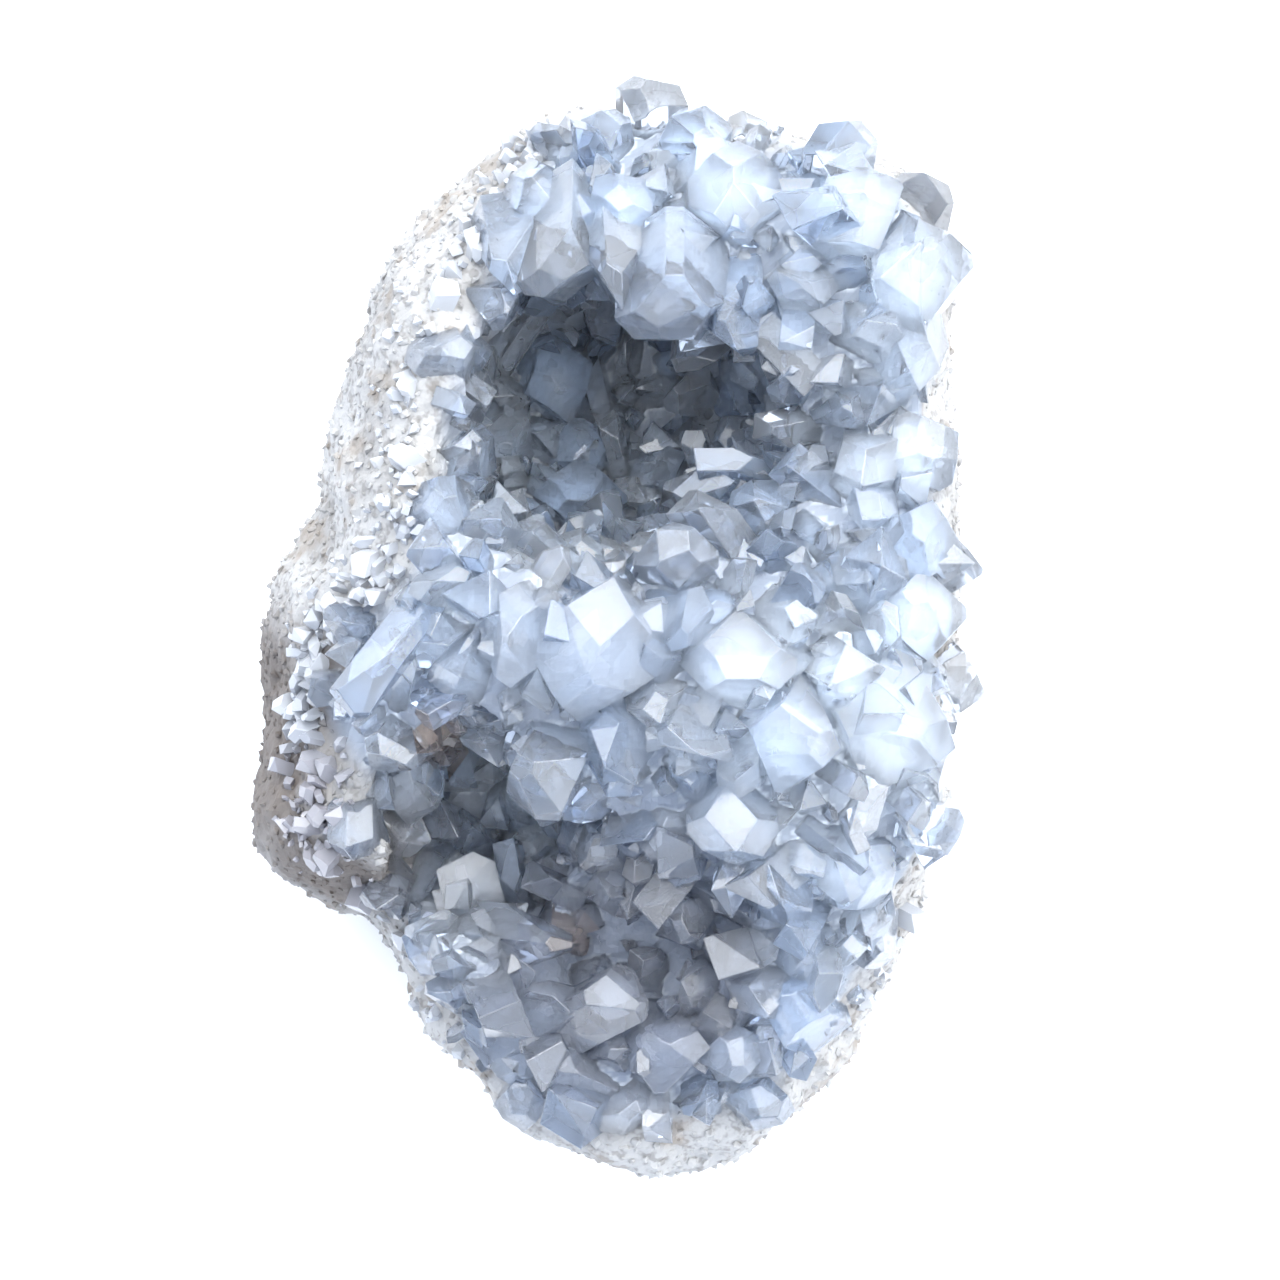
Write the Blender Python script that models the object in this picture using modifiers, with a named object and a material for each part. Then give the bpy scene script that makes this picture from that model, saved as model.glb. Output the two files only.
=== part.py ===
"""Celestite geode: a lump of pale host rock, broken open, its face and two hollows lined with celestite crystals.

The stone lies on its back, face up. +Z points out of the face, +Y towards the broad end with the deep hollow.
The origin is on the surface that it rests on, under the middle of its outline. Lengths are in millimetres
until metres() turns them into Blender's units.
"""

import math
import random

import bmesh
import bpy
from mathutils import Matrix, Vector, noise
from mathutils.bvhtree import BVHTree
from mathutils.kdtree import KDTree

# Driving dimensions of the rock
ROCK_OUTLINE = [
    (41, 2), (40.5, 16), (40.5, 32), (40.5, 45), (36, 52.5), (27, 56), (17, 57.5), (7, 60), (-3, 60.5),
    (-12, 57.5), (-18.5, 52), (-24, 44.5), (-28, 36), (-31.5, 27), (-34, 20), (-34.8, 13), (-38, 6),
    (-41.8, -1), (-43.3, -10), (-43, -20), (-40.5, -28.5), (-35.5, -32.8), (-30, -34), (-27.5, -35.5),
    (-25.5, -40), (-21.5, -48), (-17, -54.5), (-9.5, -61.5), (-1, -65.3), (9, -64.3), (18, -61),
    (26.5, -54), (32.5, -44), (36, -33), (40, -22), (41, -10),
]
FACE_HEIGHT = 50.0
EDGE_HEIGHT = 28.0
ROCK_GRAIN = 1.4
ROCK_FACES_KEPT = 0.075
BARE_ROCK_DETAIL = 0.35
FLAT_SPOT_CUT = 0.9
HALF_TURN = math.pi

# The brow is the ridge across the face between the two hollows
BROW_LINE = [(-24, 11), (-14, 4), (0, -3), (18, -7), (40, -15)]
BROW_RISE = 7.0
BROW_SPREAD = 13.0

# Each hollow is one or more lumpy balls: the middle of each, and its half lengths along X, Y and Z
HOLLOWS = {
    "upper_mouth": ((-1.0, 20.0, 50.0), (18.0, 17.0, 17.0)),
    "upper_hollow": ((-0.5, 26.0, 37.0), (20.0, 18.5, 22.0)),
    "upper_side": ((15.0, 20.5, 48.0), (12.0, 10.5, 10.0)),
    "lower_hollow": ((-13.5, -23.5, 45.0), (14.5, 14.0, 21.0)),
    "lower_basin": ((2.0, -40.5, 53.0), (18.5, 15.5, 19.0)),
    "notch": ((-24.0, -38.0, 47.0), (10.0, 10.0, 12.0)),
}
HOLLOW_LUMPS = 3.2

# The crust's edge, where the crystals give way to bare rock
CRUST_OUTLINE = [
    (46, 2), (46, 50), (30, 64), (5, 68), (-6, 62), (-11.5, 51), (-15, 42), (-19, 32), (-21.5, 24), (-22, 15),
    (-24, 7), (-30.5, 0), (-35.5, -8), (-34, -15), (-29, -20), (-25.5, -27), (-27, -37), (-22, -46), (-17, -53),
    (-9, -59), (0, -61.5), (10, -60.5), (20, -57), (27, -50), (33, -41), (38, -29), (46, -20),
]
CRUST_ABOVE_EDGE = 7.0
CRUST_THICKNESS = 1.6
CRUST_SINK = 0.8
ROCK_CLEARANCE = 0.45
BED_GRAIN = 1.1
BED_FACES_KEPT = 0.025
CRUST_FACES_KEPT = 0.8
NEAR_ROCK = 1.0
SAME_PLACE = 0.001
PINCH_NUDGE = 0.01

# The photo's eye, in the frame that the outline is drawn in, and the height at which places on the face are read
EYE = (3.7, -2.3, 530.0)
READ_HEIGHT = 30.0

# Each crystal that the eye picks out: x and y of its root on the face, its width, its height above the bed,
# how far its axis leans along X and Y, its turn about the axis in degrees, and its habit
CRYSTALS = [
    (27.0, 53.0, 8.0, 9.0, 0.10, 0.60, 20, "point"),
    (5.0, 59.5, 8.0, 6.0, 0.00, 0.70, 70, "block"),
    (10.0, 56.0, 8.5, 7.0, 0.10, 0.40, 35, "block"),
    (-0.5, 56.0, 6.0, 7.0, -0.10, 0.55, 10, "point"),
    (-6.5, 56.0, 6.5, 5.5, -0.15, 0.55, 50, "roof"),
    (15.0, 50.0, 12.0, 6.5, 0.10, 0.40, 15, "block"),
    (28.5, 47.5, 11.5, 7.0, 0.15, 0.25, 60, "block"),
    (36.5, 41.0, 11.0, 7.0, 0.40, 0.20, 25, "block"),
    (37.0, 49.5, 8.0, 6.0, 0.45, 0.50, 80, "roof"),
    (16.5, 37.0, 5.5, 8.0, 0.00, 0.25, 0, "roof"),
    (8.0, 39.5, 12.0, 9.0, 0.05, -0.45, 5, "slab"),
    (-6.0, 41.5, 9.5, 8.0, -0.05, -0.45, 175, "slab"),
    (1.5, 48.5, 9.5, 6.0, 0.00, 0.20, 40, "block"),
    (-8.5, 50.0, 7.0, 6.0, -0.15, 0.30, 75, "point"),
    (22.5, 40.0, 9.0, 7.0, 0.05, -0.10, 55, "roof"),
    (30.5, 36.0, 8.0, 6.0, 0.15, 0.05, 20, "roof"),
    (35.0, 31.0, 8.5, 6.5, 0.30, -0.20, 65, "point"),
    (22.5, 29.0, 8.0, 8.0, -0.30, -0.10, 30, "roof"),
    (17.5, 22.0, 6.0, 9.0, -0.50, -0.05, 45, "point"),
    (27.5, 26.5, 7.5, 8.0, 0.15, -0.35, 10, "slab"),
    (30.5, 19.0, 9.0, 8.0, -0.10, -0.40, 50, "point"),
    (23.5, 17.0, 9.0, 7.0, -0.15, 0.10, 85, "roof"),
    (37.0, 20.0, 9.5, 6.5, 0.40, 0.00, 30, "block"),
    (36.5, 9.5, 9.5, 7.0, 0.35, 0.00, 75, "block"),
    (30.0, 6.0, 8.0, 7.0, 0.05, -0.20, 45, "point"),
    (18.5, 12.5, 10.0, 7.0, -0.20, 0.25, 15, "roof"),
    (8.0, 6.0, 8.5, 10.0, 0.00, 0.35, 5, "point"),
    (-2.5, 5.5, 11.0, 7.5, -0.10, 0.40, 25, "roof"),
    (-12.0, 10.5, 8.5, 7.0, 0.20, 0.25, 55, "block"),
    (-20.0, 13.0, 8.0, 5.0, -0.30, 0.15, 80, "block"),
    (-1.0, -3.0, 16.0, 9.5, -0.10, -0.15, 20, "block"),
    (-10.0, -1.5, 11.5, 8.5, -0.25, -0.10, 65, "roof"),
    (15.5, -4.5, 11.5, 9.0, 0.00, -0.20, 0, "point"),
    (8.5, 0.0, 8.0, 7.5, 0.10, 0.05, 40, "roof"),
    (22.0, 2.5, 9.5, 8.0, 0.20, 0.30, 70, "slab"),
    (37.0, 0.5, 9.5, 7.0, 0.40, 0.10, 35, "block"),
    (33.0, -12.0, 16.0, 8.0, 0.25, -0.15, 15, "block"),
    (21.5, -13.0, 13.0, 8.0, 0.10, -0.20, 50, "block"),
    (10.0, -12.5, 11.0, 9.0, 0.00, -0.35, 75, "roof"),
    (14.5, -22.5, 9.5, 10.0, 0.00, -0.45, 5, "point"),
    (1.0, -13.5, 11.0, 9.0, -0.15, -0.40, 30, "roof"),
    (-6.0, -16.0, 9.5, 10.0, -0.30, -0.45, 60, "block"),
    (29.0, -29.5, 9.5, 6.5, 0.25, -0.15, 80, "block"),
    (20.0, -31.5, 9.5, 7.0, 0.05, -0.20, 25, "roof"),
    (9.5, -34.0, 9.5, 8.0, -0.10, -0.25, 45, "slab"),
    (1.0, -31.5, 6.5, 8.0, -0.05, 0.00, 10, "point"),
    (-8.5, -28.5, 6.5, 10.0, -0.20, -0.30, 70, "point"),
    (-16.0, -31.5, 9.0, 9.0, -0.05, 0.05, 20, "stub"),
    (-15.0, -37.0, 6.5, 14.0, 0.80, -0.05, 0, "roof"),
    (-12.0, -49.5, 9.5, 15.0, 0.70, 0.45, 30, "slab"),
    (-4.5, -48.0, 9.0, 14.0, 0.66, 0.40, 60, "roof"),
    (24.0, -46.5, 9.0, 9.0, -0.40, 0.25, 15, "point"),
    (-6.0, -53.0, 6.0, 7.0, 0.10, 0.10, 50, "point"),
    (6.5, -51.0, 9.5, 6.0, 0.00, 0.20, 85, "block"),
    (15.0, -51.5, 7.5, 6.0, 0.05, 0.10, 35, "block"),
    (-22.5, 1.0, 12.0, 17.0, -0.50, -0.68, 75, "slab"),
    (-26.0, -14.5, 8.0, 8.0, 0.10, -0.20, 40, "roof"),
    (-19.5, 4.5, 7.5, 7.0, -0.15, 0.00, 20, "roof"),
    (-3.5, 14.0, 9.5, 10.0, 0.00, 0.15, 0, "point"),
    (12.0, 27.0, 9.0, 12.0, -0.35, 0.00, 45, "roof"),
    (-7.5, 28.5, 9.5, 8.0, 0.30, 0.00, 20, "block"),
    (-13.5, 21.5, 8.0, 6.0, 0.40, 0.00, 65, "block"),
    (5.5, 17.5, 7.0, 7.0, 0.00, 0.20, 30, "point"),
    (-12.5, 46.0, 9.0, 10.5, 0.15, -0.75, 30, "roof"),
    (-5.5, 48.0, 11.0, 13.0, 0.00, -0.80, 80, "block"),
    (1.0, 45.5, 8.5, 12.0, 0.05, -0.78, 15, "roof"),
    (7.5, 42.5, 12.5, 11.5, 0.00, -0.80, 88, "block"),
    (14.5, 38.5, 8.5, 9.5, 0.05, -0.70, 40, "roof"),
]

# How each habit is cut: its thickness over its width, how much of its two sharp corners is blunted, the slopes
# of its two long and two short end faces in degrees, and the share of its height where a flat end cuts it
HABITS = {
    "point": (0.85, 0.10, 54, 48, 1.0),
    "roof": (0.75, 0.22, 40, 64, 0.95),
    "block": (0.85, 0.30, 28, 36, 0.86),
    "slab": (0.42, 0.28, 36, 58, 0.9),
    "stub": (0.9, 0.25, 14, 10, 0.82),
}
ROOT_DEPTH = 3.5
SIDE_REACH = 0.7

# The smaller crystals between those: the spacing of their roots, their range of widths and of heights, how far
# they lean at random, and the least distance between two roots over the sum of their widths
FACE_STEP = 7.2
FACE_JITTER = 1.6
FACE_WIDTHS = (7.0, 10.0)
FACE_HEIGHTS = (4.5, 7.0)
FACE_SEED = 11
LOOKS_PER_HOLLOW = 44
HOLLOW_WIDTHS = (7.5, 10.0)
HOLLOW_HEIGHTS = (3.5, 5.5)
HOLLOW_TOP = 60.0
HOLLOW_SEED = 23
GOLDEN_TURN = 2.39996
RANDOM_LEAN = 0.35
ROOT_SPACING = 0.36
SLOPE_SPREAD = 2.5
CRYSTAL_SEED = 1000


def metres(*lengths):
    return Vector(lengths) * 0.001


def smooth_step(low, high, value):
    t = min(1.0, max(0.0, (value - low) / (high - low)))
    return t * t * (3 - 2 * t)


def distance_to_line(x, y, points):
    """How far (x, y) lies from an open line of points."""
    place = Vector((x, y))
    nearest = 1e9
    for start, end in zip(points, points[1:]):
        a, b = Vector(start), Vector(end)
        share = min(1.0, max(0.0, (place - a).dot(b - a) / (b - a).length_squared))
        nearest = min(nearest, (a + (b - a) * share - place).length)
    return nearest


def inside(x, y, outline):
    """True if (x, y) is inside a closed outline, by counting the sides that it lies left of."""
    count = 0
    for (x0, y0), (x1, y1) in zip(outline, outline[1:] + outline[:1]):
        if (y0 > y) != (y1 > y) and x < x0 + (x1 - x0) * (y - y0) / (y1 - y0):
            count += 1
    return count % 2 == 1


def outline_radius(angle):
    """The rock outline's distance from its middle, in a direction, eased between the outline's points."""
    polar = sorted((math.atan2(y, x), math.hypot(x, y)) for x, y in ROCK_OUTLINE)
    count = len(polar)
    after = next((i for i, (a, _) in enumerate(polar) if a > angle), count)
    around = []
    for step in (-2, -1, 0, 1):
        turns, index = divmod(after + step, count)
        around.append((polar[index][0] + turns * 2 * HALF_TURN, polar[index][1]))
    (a0, r0), (a1, r1), (a2, r2), (a3, r3) = around
    t = (angle - a1) / (a2 - a1)
    slope1 = (r2 - r0) / (a2 - a0) * (a2 - a1)
    slope2 = (r3 - r1) / (a3 - a1) * (a2 - a1)
    return (
        r1 * (1 + 2 * t) * (1 - t) ** 2 + slope1 * t * (1 - t) ** 2
        + r2 * t * t * (3 - 2 * t) - slope2 * t * t * (1 - t)
    )


def edge_height(angle):
    """Height of the rock's widest line: lower on the bare left flank and at the tip."""
    return EDGE_HEIGHT + 6 * math.cos(angle) + 3 * math.sin(angle)


def face_height(x, y):
    """Height of the rock's broken face before the hollows are cut."""
    brow = BROW_RISE * math.exp(-((distance_to_line(x, y, BROW_LINE) / BROW_SPREAD) ** 2))
    far_end = 9 * smooth_step(38, 64, y)
    tip = 13 * smooth_step(-22, -62, y)
    lobe = 5 * smooth_step(-22, -40, x) * smooth_step(8, -6, y)
    return FACE_HEIGHT + brow - far_end - tip - lobe


def shoulder_power(angle):
    """How square the rock's upper shoulder is: round on the left flank, nearly square on the right."""
    left = 0.5 - 0.5 * math.cos(angle)
    return 8.0 - 5.2 * left ** 1.5


def rock_point(direction):
    """Where a point of the unit sphere goes on the rock: the upper half is the face, the lower half the back."""
    angle = math.atan2(direction.y, direction.x)
    share = math.hypot(direction.x, direction.y)
    radius = outline_radius(angle) * share
    x, y = radius * math.cos(angle), radius * math.sin(angle)
    edge = edge_height(angle)
    if direction.z >= 0:
        shoulder = math.sqrt(max(0.0, 1 - share ** shoulder_power(angle)))
        return metres(x, y, edge + (face_height(x, y) - edge) * shoulder)
    belly = math.sqrt(max(0.0, 1 - share ** 2.3))
    return metres(x, y, (edge + FLAT_SPOT_CUT) * (1 - belly) - FLAT_SPOT_CUT)


def new_object(name, mesh, collection):
    made = bpy.data.objects.new(name, mesh)
    collection.objects.link(made)
    return made


def helper(made):
    """Marks an object as a cutter or guide, which isn't a piece of the stone."""
    made.hide_render = True
    made.display_type = "WIRE"
    return made


def lumpy_ball(name, middle, half_lengths, lumps, collection):
    """An ellipsoid with a lumpy surface, which cuts a hollow."""
    shape = bmesh.new()
    bmesh.ops.create_icosphere(shape, subdivisions=4, radius=1)
    for vert in shape.verts:
        bump = 1 + lumps * noise.noise(vert.co * 1.7 + Vector(middle)) / min(half_lengths)
        vert.co = metres(*(m + h * c * bump for m, h, c in zip(middle, half_lengths, vert.co)))
    mesh = bpy.data.meshes.new(name)
    shape.to_mesh(mesh)
    shape.free()
    return helper(new_object(name, mesh, collection))


def cut_flat(shape, place, out):
    """Cuts a solid to a flat face at a place, facing out."""
    bmesh.ops.bisect_plane(
        shape, geom=shape.verts[:] + shape.edges[:] + shape.faces[:],
        plane_co=place, plane_no=out, clear_outer=True, dist=1e-7,
    )
    rim = [edge for edge in shape.edges if edge.is_boundary]
    if rim:
        bmesh.ops.contextual_create(shape, geom=rim)
        bmesh.ops.recalc_face_normals(shape, faces=shape.faces[:])


def evaluated_mesh(made):
    graph = bpy.context.evaluated_depsgraph_get()
    return bpy.data.meshes.new_from_object(made.evaluated_get(graph))


def rock_roughness(place):
    """How far the rock's surface stands in or out at a place: big lumps, small lumps and chips, none at the foot."""
    lumps = 2.2 * noise.noise(place * 45) + 1.7 * noise.noise(place * 105 + Vector((3, 1, 2)))
    chips = 0.8 * (0.5 - abs(noise.noise(place * 190)) * 2)
    return (lumps + chips) * smooth_step(0, 11, place.z * 1000) * 0.001


def build_rock(collection, cutters):
    shape = bmesh.new()
    bmesh.ops.create_icosphere(shape, subdivisions=6, radius=1)
    for vert in shape.verts:
        vert.co = rock_point(vert.co)
    mesh = bpy.data.meshes.new("host_rock")
    shape.to_mesh(mesh)
    shape.free()
    blank = helper(new_object("rock_blank", mesh, cutters))
    for name, (middle, half_lengths) in HOLLOWS.items():
        cut = blank.modifiers.new(name, "BOOLEAN")
        cut.operation = "DIFFERENCE"
        cut.object = lumpy_ball(name + "_cutter", middle, half_lengths, HOLLOW_LUMPS, cutters)
    even = blank.modifiers.new("even_faces", "REMESH")
    even.mode = "VOXEL"
    even.voxel_size = ROCK_GRAIN * 0.001
    rough = bpy.data.objects.new("rock_rough", evaluated_mesh(blank))
    cutters.objects.link(helper(rough))
    normals = [vert.normal.copy() for vert in rough.data.vertices]
    for vert, normal in zip(rough.data.vertices, normals):
        vert.co += normal * rock_roughness(vert.co)
    covered = rough.vertex_groups.new(name="covered")
    for vert in rough.data.vertices:
        covered.add([vert.index], 1.0 if crust_zone(vert.co) else BARE_ROCK_DETAIL, "REPLACE")
    fewer = rough.modifiers.new("fewer_faces", "DECIMATE")
    fewer.ratio = ROCK_FACES_KEPT
    fewer.vertex_group = "covered"
    fewer.vertex_group_factor = 3
    stone = bmesh.new()
    stone.from_mesh(evaluated_mesh(rough))
    cut_flat(stone, Vector((0, 0, 0)), Vector((0, 0, -1)))
    mesh = bpy.data.meshes.new("host_rock")
    stone.to_mesh(mesh)
    stone.free()
    return new_object("host_rock", mesh, collection)


def crystal_planes(width, height, habit, chance):
    """The flat faces of one crystal that stands on +Z: the direction that each faces, and its distance out."""
    flatness, blunt, long_slope, short_slope, flat_end = HABITS[habit]
    across, thick = width * SIDE_REACH, width * SIDE_REACH * flatness * chance.uniform(0.85, 1.15)
    planes = []
    for sx, sy in ((1, 1), (-1, 1), (-1, -1), (1, -1)):
        side = Vector((sx * thick, sy * across, 0)).normalized()
        planes.append((side, across * abs(side.x) * chance.uniform(0.92, 1.08)))
    planes.append((Vector((1, 0, 0)), across * (1 - blunt * chance.uniform(0.3, 1.5))))
    planes.append((Vector((-1, 0, 0)), across * (1 - blunt * chance.uniform(0.3, 1.5))))
    for side, slope in ((Vector((0, 1, 0)), long_slope), (Vector((1, 0, 0)), short_slope)):
        for sign in (-1, 1):
            tilt = math.radians(slope + chance.uniform(-8, 8))
            out = side * sign * math.sin(tilt) + Vector((0, 0, math.cos(tilt)))
            planes.append((out, height * math.cos(tilt) * chance.uniform(0.94, 1.06)))
    if flat_end < 1:
        planes.append((Vector((0, 0, 1)), height * flat_end))
    return planes


def crystal_shape(planes, height):
    """The solid within a crystal's planes, cut from a block whose root is below zero."""
    shape = bmesh.new()
    bmesh.ops.create_cube(shape, size=1)
    for vert in shape.verts:
        z = height * 1.3 if vert.co.z > 0 else -ROOT_DEPTH
        vert.co = metres(vert.co.x * 60, vert.co.y * 60, z)
    for out, reach in planes:
        cut_flat(shape, out * reach * 0.001, out)
    return shape


def upright(axis, turn):
    """The rotation that stands +Z along an axis, then turns about it."""
    return axis.to_track_quat("Z", "Y").to_matrix().to_4x4() @ Matrix.Rotation(math.radians(turn), 4, "Z")


class Surface:
    """The rock's surface, for rooting crystals."""

    def __init__(self, rock):
        self.tree = BVHTree.FromPolygons(
            [vert.co for vert in rock.data.vertices], [face.vertices for face in rock.data.polygons]
        )

    def hit(self, start, direction):
        return self.tree.ray_cast(start, direction)[0]

    def distance(self, place):
        return self.tree.find_nearest(place)[3]

    def slope(self, start, direction):
        """The surface's mean direction around a ray."""
        total = Vector()
        side = direction.orthogonal().normalized()
        for step in range(6):
            shift = Matrix.Rotation(step * HALF_TURN / 3, 3, direction) @ side * SLOPE_SPREAD * 0.001
            normal = self.tree.ray_cast(start + shift, direction)[1]
            if normal is not None:
                total += normal
        return total.normalized()


def named_crystals(surface):
    """Root, axis, turn, width, height and habit of the crystals in the list."""
    for x, y, width, height, lean_x, lean_y, turn, habit in CRYSTALS:
        ray = (metres(x, y, READ_HEIGHT) - metres(*EYE)).normalized()
        root = surface.hit(metres(*EYE), ray)
        lean_z = math.sqrt(max(0.0, 1 - lean_x ** 2 - lean_y ** 2))
        yield root, Vector((lean_x, lean_y, lean_z)), turn, width, height, habit


def crowded(root, width, taken):
    """True if a crystal of this width would root too close to one that has its place."""
    return any((root - other).length * 1000 < ROOT_SPACING * (width + size) for other, size in taken)


def face_crystals(surface, taken):
    """The smaller crystals between those: a jittered grid of roots, dropped straight on to the face."""
    chance = random.Random(FACE_SEED)
    down = Vector((0, 0, -1))
    for row in range(-11, 12):
        for column in range(-9, 9):
            x = (column + 0.5 * (row % 2)) * FACE_STEP + chance.uniform(-FACE_JITTER, FACE_JITTER)
            y = row * FACE_STEP * 0.87 + chance.uniform(-FACE_JITTER, FACE_JITTER)
            width = chance.uniform(*FACE_WIDTHS)
            height = chance.uniform(*FACE_HEIGHTS)
            lean_x = chance.uniform(-RANDOM_LEAN, RANDOM_LEAN)
            lean_y = chance.uniform(-RANDOM_LEAN, RANDOM_LEAN)
            turn = chance.uniform(0, 180)
            habit = chance.choice(["point", "point", "roof", "roof", "block", "slab"])
            if not inside(x, y, CRUST_OUTLINE):
                continue
            above = metres(x, y, 90)
            root = surface.hit(above, down)
            if root is None:
                continue
            if not in_hollow(root) and root.z * 1000 < edge_height(math.atan2(y, x)) + CRUST_ABOVE_EDGE - 3:
                continue
            if crowded(root, width, taken):
                continue
            axis = (surface.slope(above, down) + Vector((lean_x, lean_y, 0.5))).normalized()
            taken.append((root, width))
            yield root, axis, turn, width, height, habit


def hollow_crystals(surface, taken):
    """Crystals on the hollows' walls: roots found by looking out from each hollow's middle, evenly all round."""
    chance = random.Random(HOLLOW_SEED)
    for place, _ in HOLLOWS.values():
        middle = metres(*place)
        for index in range(LOOKS_PER_HOLLOW):
            rise = 1 - 2 * (index + 0.5) / LOOKS_PER_HOLLOW
            around = index * GOLDEN_TURN
            level = math.sqrt(1 - rise * rise)
            look = Vector((level * math.cos(around), level * math.sin(around), rise))
            width = chance.uniform(*HOLLOW_WIDTHS)
            height = chance.uniform(*HOLLOW_HEIGHTS)
            lean = Vector([chance.uniform(-RANDOM_LEAN, RANDOM_LEAN) for _ in range(3)])
            turn = chance.uniform(0, 180)
            habit = chance.choice(["point", "point", "roof", "block"])
            root = surface.hit(middle, look)
            if root is None or not in_hollow(root) or root.z * 1000 > HOLLOW_TOP:
                continue
            if crowded(root, width, taken):
                continue
            axis = (surface.slope(middle, look) * 1.2 + lean).normalized()
            taken.append((root, width))
            yield root, axis, turn, width, height, habit


def in_hollow(place):
    """True if a place on the rock is on the wall of a hollow."""
    for middle, half_lengths in HOLLOWS.values():
        reach = sum(((p * 1000 - m) / h) ** 2 for p, m, h in zip(place, middle, half_lengths))
        if reach < 1.35:
            return True
    return False


def crust_zone(place):
    """True where a place on the rock is covered by crystals."""
    x, y, z = (c * 1000 for c in place)
    if not inside(x, y, CRUST_OUTLINE):
        return False
    return in_hollow(place) or z > edge_height(math.atan2(y, x)) + CRUST_ABOVE_EDGE


def crust_bed(rock, cutters):
    """The crust without its crystals: a skin over the covered part of the rock, standing a little way into it."""
    skin = bmesh.new()
    skin.from_mesh(rock.data)
    bare = [face for face in skin.faces if not crust_zone(face.calc_center_median())]
    bmesh.ops.delete(skin, geom=bare, context="FACES")
    mesh = bpy.data.meshes.new("crust_bed")
    skin.to_mesh(mesh)
    skin.free()
    bed = helper(new_object("crust_bed", mesh, cutters))
    thick = bed.modifiers.new("thickness", "SOLIDIFY")
    thick.thickness = (CRUST_THICKNESS + CRUST_SINK) * 0.001
    thick.offset = (CRUST_THICKNESS - CRUST_SINK) / (CRUST_THICKNESS + CRUST_SINK)
    even = bed.modifiers.new("even_faces", "REMESH")
    even.mode = "VOXEL"
    even.voxel_size = BED_GRAIN * 0.001
    fewer = bed.modifiers.new("fewer_faces", "DECIMATE")
    fewer.ratio = BED_FACES_KEPT
    return bed


def all_crystals(surface, collection):
    """Every crystal of the crust, each a closed solid of its own."""
    named = list(named_crystals(surface))
    taken = [(root, width) for root, _, _, width, _, _ in named]
    every = named + list(face_crystals(surface, taken)) + list(hollow_crystals(surface, taken))
    for index, (root, axis, turn, width, height, habit) in enumerate(every):
        shape = crystal_shape(crystal_planes(width, height, habit, random.Random(CRYSTAL_SEED + index)), height)
        shape.transform(Matrix.Translation(root) @ upright(axis, turn))
        mesh = bpy.data.meshes.new("crystal")
        shape.to_mesh(mesh)
        shape.free()
        helper(new_object(f"crystal_{index}", mesh, collection))


def keep_largest(shape):
    """Drops the chips that the cuts leave loose."""
    islands = []
    left = set(shape.faces)
    while left:
        front = [left.pop()]
        island = list(front)
        while front:
            for edge in front.pop().edges:
                for face in edge.link_faces:
                    if face in left:
                        left.discard(face)
                        front.append(face)
                        island.append(face)
        islands.append(island)
    islands.sort(key=len)
    loose = [face for island in islands[:-1] for face in island]
    bmesh.ops.delete(shape, geom=loose, context="FACES")


def drop_flaps(shape):
    """Turns a solid to triangles, without the back-to-back pairs and the chips that the cuts leave."""
    bmesh.ops.triangulate(shape, faces=shape.faces[:], ngon_method="EAR_CLIP")
    by_corners = {}
    for face in shape.faces:
        by_corners.setdefault(frozenset(face.verts), []).append(face)
    flaps = [face for faces in by_corners.values() if len(faces) > 1 for face in faces]
    bmesh.ops.delete(shape, geom=flaps, context="FACES")
    keep_largest(shape)


def part_pinches(shape):
    """Draws corners of different crystals that share one place a hair back into their own solids."""
    tree = KDTree(len(shape.verts))
    for index, vert in enumerate(shape.verts):
        tree.insert(vert.co, index)
    tree.balance()
    shape.verts.ensure_lookup_table()
    shape.normal_update()
    for index, vert in enumerate(shape.verts):
        for _, other, _ in tree.find_range(vert.co, SAME_PLACE * 0.001):
            if other != index and not shape.edges.get((vert, shape.verts[other])):
                vert.co -= vert.normal * PINCH_NUDGE * 0.001


def add_cut(target, name, operation):
    """A Boolean with the Manifold solver: the exact one leaves open edges where so many crystals cross."""
    cut = target.modifiers.new(name, "BOOLEAN")
    cut.operation = operation
    cut.solver = "MANIFOLD"
    return cut


def build_crust(rock, collection, cutters):
    bed = crust_bed(rock, cutters)
    surface = Surface(rock)
    crystals = bpy.data.collections.new("crystals")
    cutters.children.link(crystals)
    all_crystals(surface, crystals)
    grown = helper(new_object("rock_grown", rock.data.copy(), cutters))
    out = grown.modifiers.new("clearance", "DISPLACE")
    out.strength = ROCK_CLEARANCE * 0.001
    out.mid_level = 0
    union = add_cut(bed, "crystals", "UNION")
    union.operand_type = "COLLECTION"
    union.collection = crystals
    add_cut(bed, "apart_from_rock", "DIFFERENCE").object = grown
    add_cut(bed, "clear_of_rock", "DIFFERENCE").object = rock
    shape = bmesh.new()
    shape.from_mesh(evaluated_mesh(bed))
    drop_flaps(shape)
    mesh = bpy.data.meshes.new("crust_full")
    shape.to_mesh(mesh)
    full = helper(new_object("crust_full", mesh, cutters))
    clear = full.vertex_groups.new(name="clear_of_rock")
    clear.add([vert.index for vert in mesh.vertices if surface.distance(vert.co) > NEAR_ROCK * 0.001], 1.0, "REPLACE")
    fewer = full.modifiers.new("fewer_faces", "DECIMATE")
    fewer.ratio = CRUST_FACES_KEPT
    fewer.vertex_group = "clear_of_rock"
    shape.clear()
    shape.from_mesh(evaluated_mesh(full))
    drop_flaps(shape)
    part_pinches(shape)
    mesh = bpy.data.meshes.new("celestite_crust")
    shape.to_mesh(mesh)
    shape.free()
    return new_object("celestite_crust", mesh, collection)


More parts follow.
